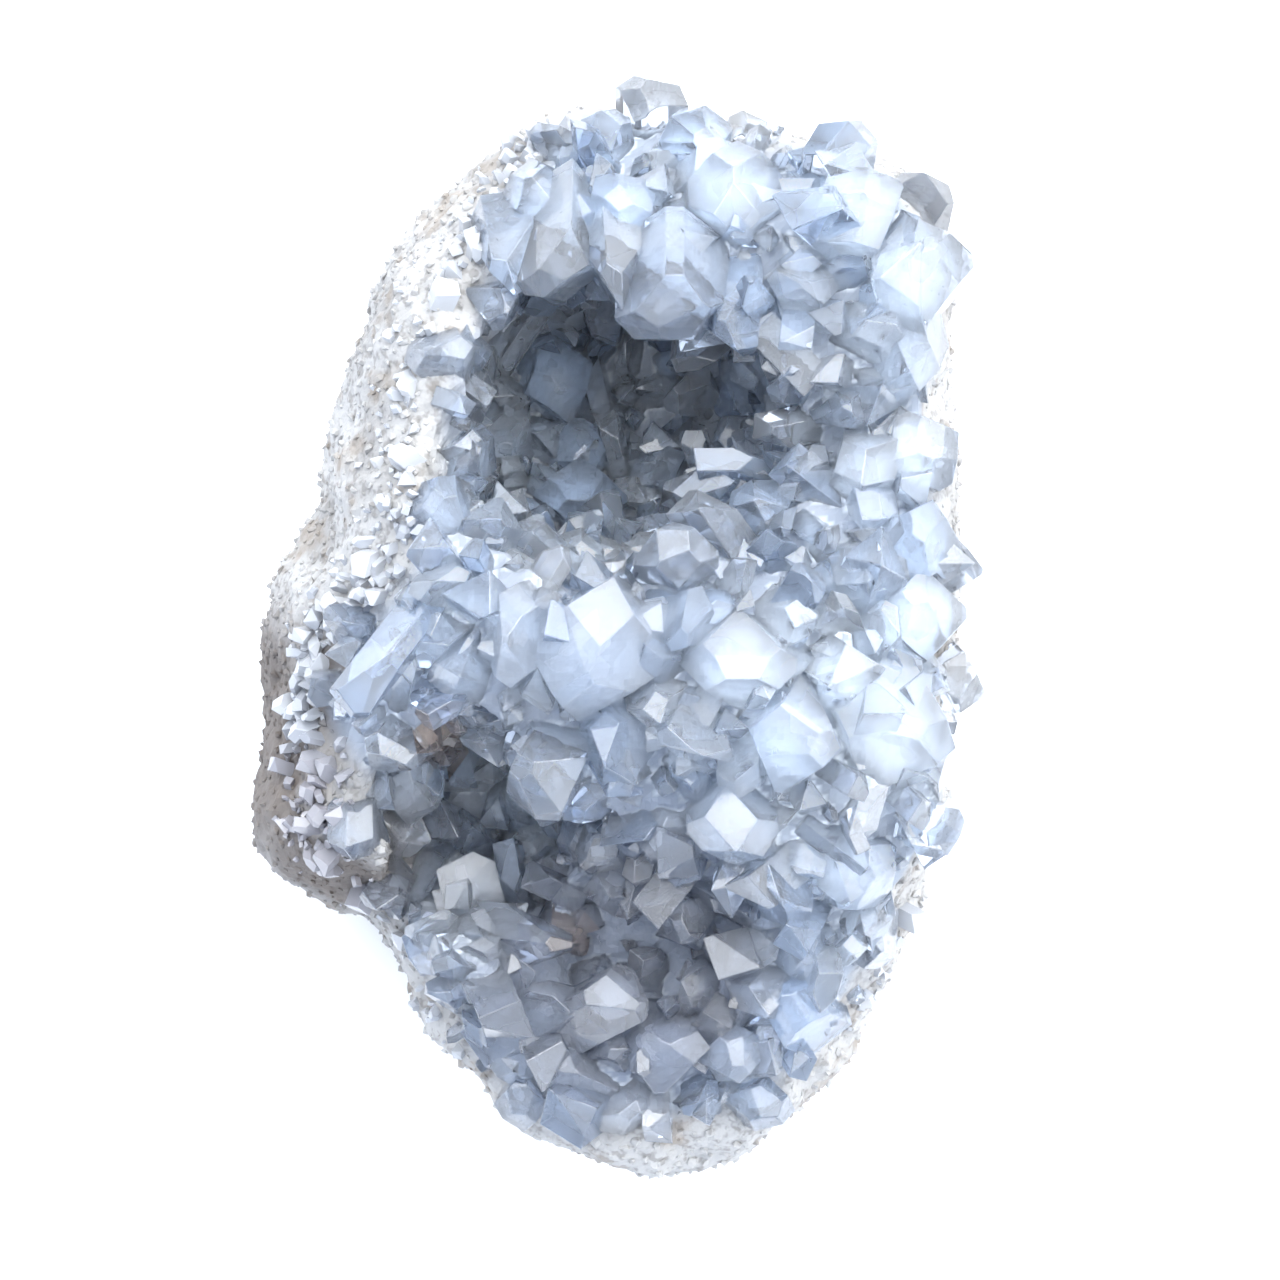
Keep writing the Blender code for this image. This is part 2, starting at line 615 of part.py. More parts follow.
def stone_material(name, colour, roughness, clear=0.0):
    made = bpy.data.materials.new(name)
    made.use_nodes = True
    shader = made.node_tree.nodes["Principled BSDF"]
    shader.inputs["Base Color"].default_value = (*colour, 1)
    shader.inputs["Roughness"].default_value = roughness
    shader.inputs["Transmission Weight"].default_value = clear
    shader.inputs["IOR"].default_value = 1.62
    return made


def centre(pieces):
    """Moves the pieces together, so that the origin is under the middle of the stone's outline."""
    places = [vert.co for piece in pieces for vert in piece.data.vertices]
    low = Vector([min(place[axis] for place in places) for axis in range(3)])
    high = Vector([max(place[axis] for place in places) for axis in range(3)])
    middle = (low + high) / 2
    for piece in pieces:
        piece.data.transform(Matrix.Translation((-middle.x, -middle.y, -low.z)))


def main():
    for old in list(bpy.data.objects):
        bpy.data.objects.remove(old)
    parts = bpy.data.collections.new("celestite_geode")
    cutters = bpy.data.collections.new("cutters")
    for collection in (parts, cutters):
        bpy.context.scene.collection.children.link(collection)
    rock = build_rock(parts, cutters)
    crust = build_crust(rock, parts, cutters)
    rock.data.materials.append(stone_material("pale_rock", (0.62, 0.60, 0.57), 0.85))
    crust.data.materials.append(stone_material("celestite", (0.62, 0.72, 0.84), 0.12, 0.6))
    bpy.data.collections.remove(cutters)
    centre([rock, crust])


main()
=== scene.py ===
import math
import random

import bmesh
import bpy
from mathutils import Matrix, Vector, noise
from mathutils.bvhtree import BVHTree


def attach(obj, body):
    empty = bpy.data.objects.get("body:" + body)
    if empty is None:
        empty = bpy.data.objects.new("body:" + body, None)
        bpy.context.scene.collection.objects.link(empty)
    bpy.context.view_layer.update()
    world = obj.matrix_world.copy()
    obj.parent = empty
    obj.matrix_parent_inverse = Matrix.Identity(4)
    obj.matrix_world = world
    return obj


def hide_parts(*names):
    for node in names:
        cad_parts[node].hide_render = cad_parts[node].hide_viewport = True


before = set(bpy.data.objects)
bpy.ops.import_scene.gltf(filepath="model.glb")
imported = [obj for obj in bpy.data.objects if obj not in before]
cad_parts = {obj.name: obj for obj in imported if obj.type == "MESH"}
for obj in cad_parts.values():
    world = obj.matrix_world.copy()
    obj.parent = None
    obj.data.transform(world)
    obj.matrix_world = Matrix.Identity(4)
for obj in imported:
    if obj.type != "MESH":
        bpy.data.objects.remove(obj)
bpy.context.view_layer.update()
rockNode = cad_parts["host_rock"]
scene = bpy.context.scene
millimetre = 0.001
print("frame loaded:", ", ".join(sorted(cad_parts)))

# The places below are drawn in the photo's own frame, from the middle of the picture of the stone. The part's
# origin is this far away
drawnShift = Vector((-0.808, 1.113, 0)) * millimetre

# The share of a spot's reach in which it is at its full strength, on the rock and on the crystals
spotCore = 0.4
crystalSpotCore = 0.5


def pickSocket(sockets, key):
    if isinstance(key, int):
        return sockets[key]
    return next(socket for socket in sockets if socket.name == key and socket.enabled)


# One output of a node, so that sums on sockets are written as sums
class Wire:
    def __init__(self, net, socket):
        self.net = net
        self.socket = socket

    def out(self, key):
        return Wire(self.net, pickSocket(self.socket.node.outputs, key))

    def __add__(self, other):
        return self.net.sum("ADD", self, other)

    def __radd__(self, other):
        return self.net.sum("ADD", other, self)

    def __sub__(self, other):
        return self.net.sum("SUBTRACT", self, other)

    def __rsub__(self, other):
        return self.net.sum("SUBTRACT", other, self)

    def __mul__(self, other):
        return self.net.sum("MULTIPLY", self, other)

    def __rmul__(self, other):
        return self.net.sum("MULTIPLY", other, self)

    def __truediv__(self, other):
        return self.net.sum("DIVIDE", self, other)

    def __rtruediv__(self, other):
        return self.net.sum("DIVIDE", other, self)


# A node tree that nodes are added to, one call for each
class Net:
    def __init__(self, tree):
        self.tree = tree

    def add(self, kind, settings, sockets, output=0):
        made = self.tree.nodes.new(kind)
        for name, value in settings.items():
            setattr(made, name, value)
        for key, value in sockets.items():
            socket = pickSocket(made.inputs, key)
            if isinstance(value, Wire):
                self.tree.links.new(value.socket, socket)
            elif isinstance(value, list):
                for wire in value:
                    self.tree.links.new(wire.socket, socket)
            else:
                socket.default_value = value
        return Wire(self, pickSocket(made.outputs, output)) if len(made.outputs) else None

    def sum(self, operation, first, second):
        return self.add("ShaderNodeMath", {"operation": operation}, {0: first, 1: second})

    def between(self, value, low, high):
        return self.add(
            "ShaderNodeMapRange", {"interpolation_type": "SMOOTHSTEP"},
            {"Value": value, "From Min": low, "From Max": high},
        )

    def blend(self, amount, first, second):
        return self.add(
            "ShaderNodeMix", {"data_type": "RGBA"}, {"Factor": amount, "A": first, "B": second}, "Result"
        )

    def vectors(self, operation, first, second, output):
        return self.add("ShaderNodeVectorMath", {"operation": operation}, {0: first, 1: second}, output)

    def bump(self, height, strength, depth):
        return self.add(
            "ShaderNodeBump", {},
            {"Strength": strength, "Distance": depth * millimetre, "Height": height}, "Normal",
        )

    def noise(self, place, scale, detail, roughness=0.5):
        return self.add(
            "ShaderNodeTexNoise", {},
            {"Vector": place, "Scale": scale, "Detail": detail, "Roughness": roughness},
        )

    def attribute(self, name):
        return self.add("ShaderNodeAttribute", {"attribute_name": name}, {}, "Fac")

    # How near a place is to any of some spots, drawn in millimetres with their reach: 1 in a spot's core, 0
    # beyond its reach
    def spots(self, place, drawn):
        total = None
        for middle, reach in drawn:
            middle = Vector(middle) * millimetre + drawnShift
            away = self.vectors("DISTANCE", place, middle, "Value")
            near = 1 - self.between(away, reach * spotCore * millimetre, reach * millimetre)
            total = near if total is None else self.sum("MAXIMUM", total, near)
        return total


def colour(red, green, blue):
    return (red, green, blue, 1)


def newMaterial(name):
    made = bpy.data.materials.new(name)
    made.use_nodes = True
    made.node_tree.nodes.clear()
    net = Net(made.node_tree)
    return made, net, net.add("ShaderNodeTexCoord", {}, {}, "Object")


# The celestite: clear pale blue, each crystal a little different, some milky. Its etching's depth is in
# millimetres
crystalLook = {
    "clearBlue": colour(0.89, 0.93, 1.0),
    "deepBlue": colour(0.68, 0.79, 0.98),
    "milkWhite": colour(0.93, 0.95, 1.0),
    "blush": colour(0.86, 0.66, 0.55),
    # A grey painted on the crystals where they lie in shade
    "paintedShadeGrey": colour(0.42, 0.40, 0.44),
    "transmission": 0.87,
    "ior": 1.62,
    "smooth": 0.015,
    "frosted": 0.30,
    "veilScale": 170,
    "veilFade": (0.52, 0.70),
    "veilShare": 0.45,
    "etchScale": 700,
    "etchStrength": 0.12,
    "etchDepth": 0.1,
    "absorbColour": colour(0.45, 0.68, 0.97),
    "absorbDensity": 24,
}

# Where the crystals are milkier, bluer, blushed orange or greyed with painted shade, in millimetres in the
# photo's
# frame: the middle of each spot, its reach and its strength
crystalSpots = {
    "milky": [
        ((15.6, -4.0), 7, 0.9), ((24.5, 31.5), 4, 0.8), ((-9.0, 3.5), 4.5, 0.7), ((32, -15), 14, 0.7),
        ((22, -22), 9, 0.6), ((-16, -32), 5.5, 0.8),
    ],
    "tint": [((16.5, 37.0), 4.5, 3.0)],
    "smoky": [((1, -42), 22, 0.5), ((-22, -28), 10, 0.3)],
    "blushed": [((-20.1, -13.2), 4.0, 0.9), ((-4.6, -37.4), 4.0, 0.8)],
}
# The druse on the left lobe is greyed with painted shade
drusySpots = {"smoky": [((-35, -25), 14, 0.75)]}

# The other crystals are milky by chance: each one's tint is stirred, and the highest fifth are milky
milkyChance = {"stir": 13.7, "among": (0.8, 1.0), "most": 0.7}


def crystalMaterial(name, look):
    made, net, place = newMaterial(name)
    tint = net.attribute("tint")
    veil = net.between(net.noise(place, look["veilScale"], 0), *look["veilFade"])
    cloud = 1 - (1 - net.attribute("milky")) * (1 - veil * look["veilShare"])
    blue = net.blend(tint, look["clearBlue"], look["deepBlue"])
    skin = net.blend(cloud, blue, look["milkWhite"])
    skin = net.blend(net.attribute("blushed"), skin, look["blush"])
    # Painted shade: a grey laid over the crystals in shaded spots
    skin = net.blend(net.attribute("smoky"), skin, look["paintedShadeGrey"])
    rough = cloud * (look["frosted"] - look["smooth"]) + look["smooth"]
    etched = net.bump(net.noise(place, look["etchScale"], 0), look["etchStrength"], look["etchDepth"])
    body = net.add(
        "ShaderNodeBsdfPrincipled", {},
        {
            "Base Color": skin, "Roughness": rough, "Normal": etched, "IOR": look["ior"],
            "Transmission Weight": look["transmission"],
        },
    )
    depth = net.add(
        "ShaderNodeVolumeAbsorption", {}, {"Color": look["absorbColour"], "Density": look["absorbDensity"]}
    )
    net.add("ShaderNodeOutputMaterial", {}, {"Surface": body, "Volume": depth})
    return made


# Healed cracks inside the crystals: thin bright sheets, some of them fainter
crackLook = {
    "white": colour(0.90, 0.94, 1.0),
    "roughness": 0.2,
    "weakest": 0.03,
    "strongest": 0.32,
}


def crackMaterial(name, look):
    made, net, _ = newMaterial(name)
    alpha = look["weakest"] + net.attribute("tint") * (look["strongest"] - look["weakest"])
    body = net.add(
        "ShaderNodeBsdfPrincipled", {},
        {"Base Color": look["white"], "Roughness": look["roughness"], "Alpha": alpha},
    )
    net.add("ShaderNodeOutputMaterial", {}, {"Surface": body})
    return made


# The host rock: chalky white with grey and beige marks, browner in spots on its left side, and under the
# crust painted with light and shade from a dark grey-blue to near white. Its grains' depth and its spots are
# in millimetres
rockLook = {
    "white": colour(0.42, 0.415, 0.41),
    "grey": colour(0.17, 0.16, 0.15),
    "beige": colour(0.27, 0.22, 0.17),
    "brown": colour(0.11, 0.09, 0.078),
    "bedShadedColour": colour(0.14, 0.17, 0.24),
    "bedLitColour": colour(0.90, 0.96, 1.0),
    "patch": {"scale": 60, "roughness": 0.6, "fade": (0.46, 0.64), "share": 0.4},
    "speckle": {"scale": 520, "roughness": 0.75, "fade": (0.50, 0.64), "share": 0.6},
    "stain": {"scale": 130, "roughness": 0.7, "fade": (0.52, 0.70), "share": 0.5},
    "brownShare": 0.85,
    "roughness": 0.85,
    "speckleGloss": 0.15,
    "grainScale": 420,
    "grainRoughness": 0.75,
    "grainStrength": 0.7,
    "grainDepth": 0.5,
    "brownSides": [((-40, -14, 26), 22), ((-34, -30, 34), 14), ((-30, -8, 40), 9)],
    "sugar": [((-32, -25, 44), 7)],
}


def rockMaterial(name, look):
    made, net, place = newMaterial(name)
    bare = look["white"]
    marks = {}
    for name, tone in (("speckle", "grey"), ("patch", "grey"), ("stain", "beige")):
        kind = look[name]
        marks[name] = net.between(net.noise(place, kind["scale"], 2, kind["roughness"]), *kind["fade"])
        bare = net.blend(marks[name] * kind["share"], bare, look[tone])
    brown = net.spots(place, look["brownSides"]) * (1 - net.spots(place, look["sugar"]))
    bare = net.blend(brown * look["brownShare"], bare, look["brown"])
    grains = net.noise(place, look["grainScale"], 3, look["grainRoughness"])
    bump = net.bump(grains, look["grainStrength"], look["grainDepth"])
    rough = look["roughness"] - marks["speckle"] * look["speckleGloss"]
    body = net.add("ShaderNodeBsdfPrincipled", {}, {"Base Color": bare, "Roughness": rough, "Normal": bump})
    # Under the crust the rock's colour is painted light and shade, between a shaded grey-blue and a lit near
    # white
    skin = net.blend(net.attribute("bedShade"), look["bedShadedColour"], look["bedLitColour"])
    bed = net.add("ShaderNodeBsdfPrincipled", {}, {"Base Color": skin, "Roughness": look["roughness"]})
    mixed = net.add("ShaderNodeMixShader", {}, {0: net.attribute("covered"), 1: body, 2: bed})
    net.add("ShaderNodeOutputMaterial", {}, {"Surface": mixed})
    return made


# The druse: small milky crystals where the crust runs out on the rock
drusyLook = {
    **crystalLook,
    "clearBlue": colour(0.84, 0.86, 0.90),
    "deepBlue": colour(0.66, 0.69, 0.75),
    "milkWhite": colour(0.86, 0.87, 0.88),
    "transmission": 0.45,
    "smooth": 0.15,
    "absorbDensity": 20,
}
celestite = crystalMaterial("celestite", crystalLook)
healedCrack = crackMaterial("healedCrack", crackLook)
paleRock = rockMaterial("paleRock", rockLook)
milkyDruse = crystalMaterial("milkyDruse", drusyLook)
print("materials made")


def smoothStep(low, high, value):
    t = min(1.0, max(0.0, (value - low) / (high - low)))
    return t * t * (3 - 2 * t)


# The same as Net.spots, for one spot and in Python
def nearSpot(x, y, middle, reach, core):
    away = math.hypot(x - middle[0], y - middle[1])
    return 1 - smoothStep(reach * core, reach, away)


def newPiece(name, mesh, material):
    mesh.name = name
    mesh.materials.clear()
    mesh.materials.append(material)
    made = bpy.data.objects.new(name, mesh)
    scene.collection.objects.link(made)
    return made


def finishedMesh(made):
    graph = bpy.context.evaluated_depsgraph_get()
    return bpy.data.meshes.new_from_object(made.evaluated_get(graph))


def giveValues(mesh, name, values):
    layer = mesh.attributes.new(name, "FLOAT", "POINT")
    layer.data.foreach_set("value", values)


# The rock, in millimetres: the fineness of its mesh, how far its surface stands in or out at three scales,
# where crystals, druse and grains grow on it, and the light and shade painted on it under the crystals, from
# 0 to 1
rockShape = {
    "grain": 0.75,
    "smoothing": 3,
    "lumps": (0.55, 160),
    "chips": (0.40, 420),
    "pits": (0.22, 950),
    "ridges": (0.45, 1.4),
    "flatBelow": 1.5,
    "facingUp": (0.4, 0.7),
    "anyFacingWithin": (34, 46),
    "anyFacingInside": 6,
    "growRightTo": (36.5, 40),
    "crustAbove": (16, 24),
    "growInside": (1.0, 4.5),
    "growInHollows": 0.85,
    "drusyOutside": 9,
    "drusyLobes": [((-31.5, -25), 9)],
    "coveredSpot": ((-31.5, -25), (0.7, 2.2)),
    "drusyInside": 4,
    "drusyFacing": (0.3, 0.65),
    "drusyAbove": (-54, -46),
    "grainsAbove": (1.2, 3.0),
    # The painted light on the rock under the crust: on the face, deep in the hollows, and the share of it
    # kept where the rock shows in the gaps, which is painted shade
    "bedShade": 0.64,
    "bedPaintedLightDeep": 0.9,
    "bedPaintedShadeInGaps": 0.3,
    "deepBetween": (36, 52),
    # Spots of painted light (above 0) and painted shade (below 0) under the crust: their middle, reach and
    # change
    "bedPaintedLightSpots": [
        ((2, -40), 24, -0.62), ((30, -14), 22, 0.45), ((-22, 2), 12, 0.3), ((-13, -23), 12, 0.25),
        ((-31, -25), 11, -0.5), ((31, 44), 14, 0.15), ((10, 20), 11, -0.15), ((0, -1), 9, -0.2),
    ],
}


def treeOf(mesh, shift=Vector()):
    return BVHTree.FromPolygons([v.co - shift for v in mesh.vertices], [f.vertices for f in mesh.polygons])


def rockRelief(place, shape):
    total = 0
    rise, fall = shape["ridges"]
    for size, scale in (shape["lumps"], shape["chips"]):
        total += size * (rise - fall * abs(noise.noise(place * scale)))
    size, scale = shape["pits"]
    total += size * noise.noise(place * scale)
    return total * smoothStep(0, shape["flatBelow"], place.z / millimetre) * millimetre


# Painted light and shade on the rock under the crust: lighter deep in the hollows, lighter or darker in some
# spots
def bedPaintedLightAt(x, y, height, shape):
    shallow = smoothStep(*shape["deepBetween"], height)
    shade = shape["bedPaintedLightDeep"] + (shape["bedShade"] - shape["bedPaintedLightDeep"]) * shallow
    for middle, reach, change in shape["bedPaintedLightSpots"]:
        shade += change * nearSpot(x, y, middle, reach, spotCore)
    return min(1.0, max(0.0, shade))


def makeRock(shape):
    merged = bmesh.new()
    merged.from_mesh(rockNode.data)
    bmesh.ops.remove_doubles(merged, verts=merged.verts[:], dist=1e-6)
    mesh = bpy.data.meshes.new("rockBlank")
    merged.to_mesh(mesh)
    merged.free()
    blank = newPiece("rockBlank", mesh, paleRock)
    even = blank.modifiers.new("even", "REMESH")
    even.mode = "VOXEL"
    even.voxel_size = shape["grain"] * millimetre
    soft = blank.modifiers.new("soft", "SMOOTH")
    soft.iterations = shape["smoothing"]
    mesh = finishedMesh(blank)
    bpy.data.objects.remove(blank)
    bed = CrustBed(crustPlan)
    (spotX, spotY), spotEdge = shape["coveredSpot"]
    values = {name: [] for name in ("covered", "bare", "growing", "drusy", "bedShade")}
    midX, midY = shape["anyFacingWithin"]
    normals = [vert.normal.copy() for vert in mesh.vertices]
    for vert, normal in zip(mesh.vertices, normals):
        x, y = ((vert.co - drawnShift) / millimetre).xy
        height = vert.co.z / millimetre
        inside = depthInside(x, y, crustPlan["outline"])
        hollow = bed.inHollow(vert.co - drawnShift)
        free = hollow or (abs(x) < midX and abs(y) < midY and inside > shape["anyFacingInside"])
        facing = 1 if free else smoothStep(*shape["facingUp"], normal.z)
        onTop = smoothStep(*shape["crustAbove"], height)
        depth = shape["growInHollows"] if hollow else onTop
        flush = 1 - smoothStep(*shape["growRightTo"], x)
        growing = facing * depth * flush * smoothStep(*shape["growInside"], inside)
        fringe = smoothStep(-shape["drusyOutside"], 0, inside)
        fringe *= 1 - smoothStep(0, shape["drusyInside"], inside)
        for middle, reach in shape["drusyLobes"]:
            fringe = max(fringe, nearSpot(x, y, middle, reach, crystalSpotCore))
        fringe *= smoothStep(*shape["drusyAbove"], y)
        drusy = 0 if hollow else fringe * smoothStep(*shape["drusyFacing"], normal.z) * onTop
        covered = max(growing, 1 - smoothStep(*spotEdge, math.hypot(x - spotX, y - spotY)))
        values["growing"].append(growing)
        values["drusy"].append(drusy)
        values["covered"].append(covered)
        values["bare"].append((1 - covered) * smoothStep(*shape["grainsAbove"], height))
        values["bedShade"].append(bedPaintedLightAt(x, y, height, shape))
        vert.co += normal * rockRelief(vert.co, shape)
        vert.co.z = max(0.0, vert.co.z)
    for name, given in values.items():
        giveValues(mesh, name, given)
    mesh.update()
    return newPiece("rockLump", mesh, paleRock)


# Each crystal that the eye picks out, in millimetres: x and y of its root on the face, its width, its height,
# how far its axis leans along X and Y, its turn about the axis in degrees, and its habit
bigCrystals = [
    (27, 53, 8, 9, 0.1, 0.6, 20, "point"),
    (5, 59.5, 8, 6, 0, 0.7, 70, "block"),
    (10, 56, 8.5, 7, 0.1, 0.4, 35, "block"),
    (-0.5, 56, 6, 7, -0.1, 0.55, 10, "point"),
    (-6.5, 56, 6.5, 5.5, -0.15, 0.55, 50, "roof"),
    (15, 50, 12, 6.5, 0.1, 0.4, 15, "block"),
    (28.5, 47.5, 11.5, 7, 0.15, 0.25, 60, "block"),
    (36.5, 41, 11, 7, 0.4, 0.2, 25, "block"),
    (37, 49.5, 8, 6, 0.45, 0.5, 80, "roof"),
    (16.5, 37, 5.5, 8, 0, 0.25, 0, "roof"),
    (8, 39.5, 12, 9, 0.05, -0.45, 5, "slab"),
    (-6, 41.5, 9.5, 8, -0.05, -0.45, 175, "slab"),
    (1.5, 48.5, 9.5, 6, 0, 0.2, 40, "block"),
    (-8.5, 50, 7, 6, -0.15, 0.3, 75, "point"),
    (22.5, 40, 9, 7, 0.05, -0.1, 55, "roof"),
    (30.5, 36, 8, 6, 0.15, 0.05, 20, "roof"),
    (35, 31, 8.5, 6.5, 0.3, -0.2, 65, "point"),
    (22.5, 29, 8, 8, -0.3, -0.1, 30, "roof"),
    (17.5, 22, 6, 9, -0.5, -0.05, 45, "point"),
    (27.5, 26.5, 7.5, 8, 0.15, -0.35, 10, "slab"),
    (30.5, 19, 9, 8, -0.1, -0.4, 50, "point"),
    (23.5, 17, 9, 7, -0.15, 0.1, 85, "roof"),
    (37, 20, 9.5, 6.5, 0.4, 0, 30, "block"),
    (36.5, 9.5, 9.5, 7, 0.35, 0, 75, "block"),
    (30, 6, 8, 7, 0.05, -0.2, 45, "point"),
    (18.5, 12.5, 10, 7, -0.2, 0.25, 15, "roof"),
    (8, 6, 8.5, 10, 0, 0.35, 5, "point"),
    (-2.5, 5.5, 11, 7.5, -0.1, 0.4, 25, "roof"),
    (-12, 10.5, 8.5, 7, 0.2, 0.25, 55, "block"),
    (-20, 13, 8, 5, -0.3, 0.15, 80, "block"),
    (-1, -3, 16, 9.5, -0.1, -0.15, 20, "block"),
    (-10, -1.5, 11.5, 8.5, -0.25, -0.1, 65, "roof"),
    (15.5, -4.5, 11.5, 9, 0, -0.2, 0, "point"),
    (8.5, 0, 8, 7.5, 0.1, 0.05, 40, "roof"),
    (22, 2.5, 9.5, 8, 0.2, 0.3, 70, "slab"),
    (37, 0.5, 9.5, 7, 0.4, 0.1, 35, "block"),
    (33, -12, 16, 8, 0.25, -0.15, 15, "block"),
    (21.5, -13, 13, 8, 0.1, -0.2, 50, "block"),
    (10, -12.5, 11, 9, 0, -0.35, 75, "roof"),
    (14.5, -22.5, 9.5, 10, 0, -0.45, 5, "point"),
    (1, -13.5, 11, 9, -0.15, -0.4, 30, "roof"),
    (-6, -16, 9.5, 10, -0.3, -0.45, 60, "block"),
    (29, -29.5, 9.5, 6.5, 0.25, -0.15, 80, "block"),
    (20, -31.5, 9.5, 7, 0.05, -0.2, 25, "roof"),
    (9.5, -34, 9.5, 8, -0.1, -0.25, 45, "slab"),
    (1, -31.5, 6.5, 8, -0.05, 0, 10, "point"),
    (-8.5, -28.5, 6.5, 10, -0.2, -0.3, 70, "point"),
    (-16, -31.5, 9, 9, -0.05, 0.05, 20, "stub"),
    (-15, -37, 6.5, 14, 0.8, -0.05, 0, "roof"),
    (-12, -49.5, 9.5, 15, 0.7, 0.45, 30, "slab"),
    (-4.5, -48, 9, 14, 0.66, 0.4, 60, "roof"),
    (24, -46.5, 9, 9, -0.4, 0.25, 15, "point"),
    (-6, -53, 6, 7, 0.1, 0.1, 50, "point"),
    (6.5, -51, 9.5, 6, 0, 0.2, 85, "block"),
    (15, -51.5, 7.5, 6, 0.05, 0.1, 35, "block"),
    (-22.5, 1, 12, 17, -0.5, -0.68, 75, "slab"),
    (-26, -14.5, 8, 8, 0.1, -0.2, 40, "roof"),
    (-19.5, 4.5, 7.5, 7, -0.15, 0, 20, "roof"),
    (-3.5, 14, 9.5, 10, 0, 0.15, 0, "point"),
    (12, 27, 9, 12, -0.35, 0, 45, "roof"),
    (-7.5, 28.5, 9.5, 8, 0.3, 0, 20, "block"),
    (-13.5, 21.5, 8, 6, 0.4, 0, 65, "block"),
    (5.5, 17.5, 7, 7, 0, 0.2, 30, "point"),
    (-12.5, 46, 9, 10.5, 0.15, -0.75, 30, "roof"),
    (-5.5, 48, 11, 13, 0, -0.8, 80, "block"),
    (1, 45.5, 8.5, 12, 0.05, -0.78, 15, "roof"),
    (7.5, 42.5, 12.5, 11.5, 0, -0.8, 88, "block"),
    (14.5, 38.5, 8.5, 9.5, 0.05, -0.7, 40, "roof"),
]

# The four sides of a rhombic prism, as signs of X and Y
rhombSides = ((1, 1), (-1, 1), (-1, -1), (1, -1))

# How each habit is cut: its thickness over its width, how blunt its two sharp corners are, the slopes of its
# long and short end faces in degrees, and the share of its height where a flat end cuts it
habits = {
    "point": (0.85, 0.10, 54, 48, 1.0),
    "roof": (0.75, 0.14, 40, 64, 0.95),
    "block": (0.85, 0.16, 28, 36, 0.86),
    "slab": (0.42, 0.28, 36, 58, 0.9),
    "stub": (0.9, 0.25, 14, 10, 0.82),
}

# The crust, in millimetres and in the photo's frame: the eye that read the list above, the hollows as balls
# with a middle and half lengths, the edge of the crystals, and the rule for those between the listed ones
crustPlan = {
    "eye": (3.7, -2.3, 530.0),
    "readHeight": 30.0,
    "hollows": [
        ((-1.0, 20.0, 50.0), (18.0, 17.0, 17.0)),
        ((-0.5, 26.0, 37.0), (20.0, 18.5, 22.0)),
        ((15.0, 20.5, 48.0), (12.0, 10.5, 10.0)),
        ((-13.5, -23.5, 45.0), (14.5, 14.0, 21.0)),
        ((2.0, -40.5, 53.0), (18.5, 15.5, 19.0)),
        ((-24.0, -38.0, 47.0), (10.0, 10.0, 12.0)),
    ],
    "outline": [
        (46, 2), (46, 50), (30, 64), (5, 68), (-6, 62), (-11.5, 51), (-15, 42), (-19, 32), (-21.5, 24),
        (-22, 15), (-24, 7), (-30.5, 0), (-35.5, -8), (-34, -15), (-29, -20), (-25.5, -27), (-27, -37),
        (-22, -46), (-17, -53), (-9, -59), (0, -61.5), (10, -60.5), (20, -57), (27, -50), (33, -41),
        (38, -29), (46, -20),
    ],
    "hollowSpan": 1.35,
    "edge": (28.0, 6.0, 3.0),
    "lowest": 4.0,
    "highestInHollows": 60,
    "rootDepth": 3.5,
    "sideReach": 0.7,
    "bevel": 0.09,
    "slimming": 0.8,
    "listedSlimming": 0.9,
    "slimmedFrom": 12,
    "straightBeyond": 33.0,
    "straightLean": 0.15,
    "crystalSeed": 1000,
    "rows": (-11, 12),
    "columns": (-9, 9),
    "step": 7.2,
    "rowStep": 0.87,
    "jitter": 1.6,
    "overhead": 90,
    "faceWidth": (7.0, 10.0),
    "faceHeight": (4.5, 7.0),
    "faceLift": 0.5,
    "faceHabits": ["point", "point", "roof", "roof", "block", "slab"],
    "hollowWidth": (7.5, 10.0),
    "hollowHeight": (3.5, 5.5),
    "hollowSlope": 1.2,
    "hollowHabits": ["point", "point", "roof", "block"],
    "faceSeed": 11,
    "hollowSeed": 23,
    "looks": 44,
    "spacing": 0.36,
    "lean": 0.35,
    "slopeSpread": 2.5,
}


def mm(*lengths):
    return Vector(lengths) * millimetre


def insideOutline(x, y, outline):
    count = 0
    for (x0, y0), (x1, y1) in zip(outline, outline[1:] + outline[:1]):
        if (y0 > y) != (y1 > y) and x < x0 + (x1 - x0) * (y - y0) / (y1 - y0):
            count += 1
    return count % 2 == 1


# How far inside the outline a place is, in millimetres: less than 0 outside it
def depthInside(x, y, outline):
    nearest = 1e9
    for (x0, y0), (x1, y1) in zip(outline, outline[1:] + outline[:1]):
        dx, dy = x1 - x0, y1 - y0
        t = min(1.0, max(0.0, ((x - x0) * dx + (y - y0) * dy) / (dx * dx + dy * dy)))
        nearest = min(nearest, math.hypot(x - x0 - t * dx, y - y0 - t * dy))
    return nearest if insideOutline(x, y, outline) else -nearest


# How unequal the faces of one crystal are: shares of its size, and degrees
unevenness = {
    "thickness": (0.85, 1.15),
    "side": (0.92, 1.08),
    "blunting": (0.3, 1.5),
    "slope": (-8, 8),
    "end": (0.94, 1.06),
    "flatEndTilt": (-0.3, 0.3),
}


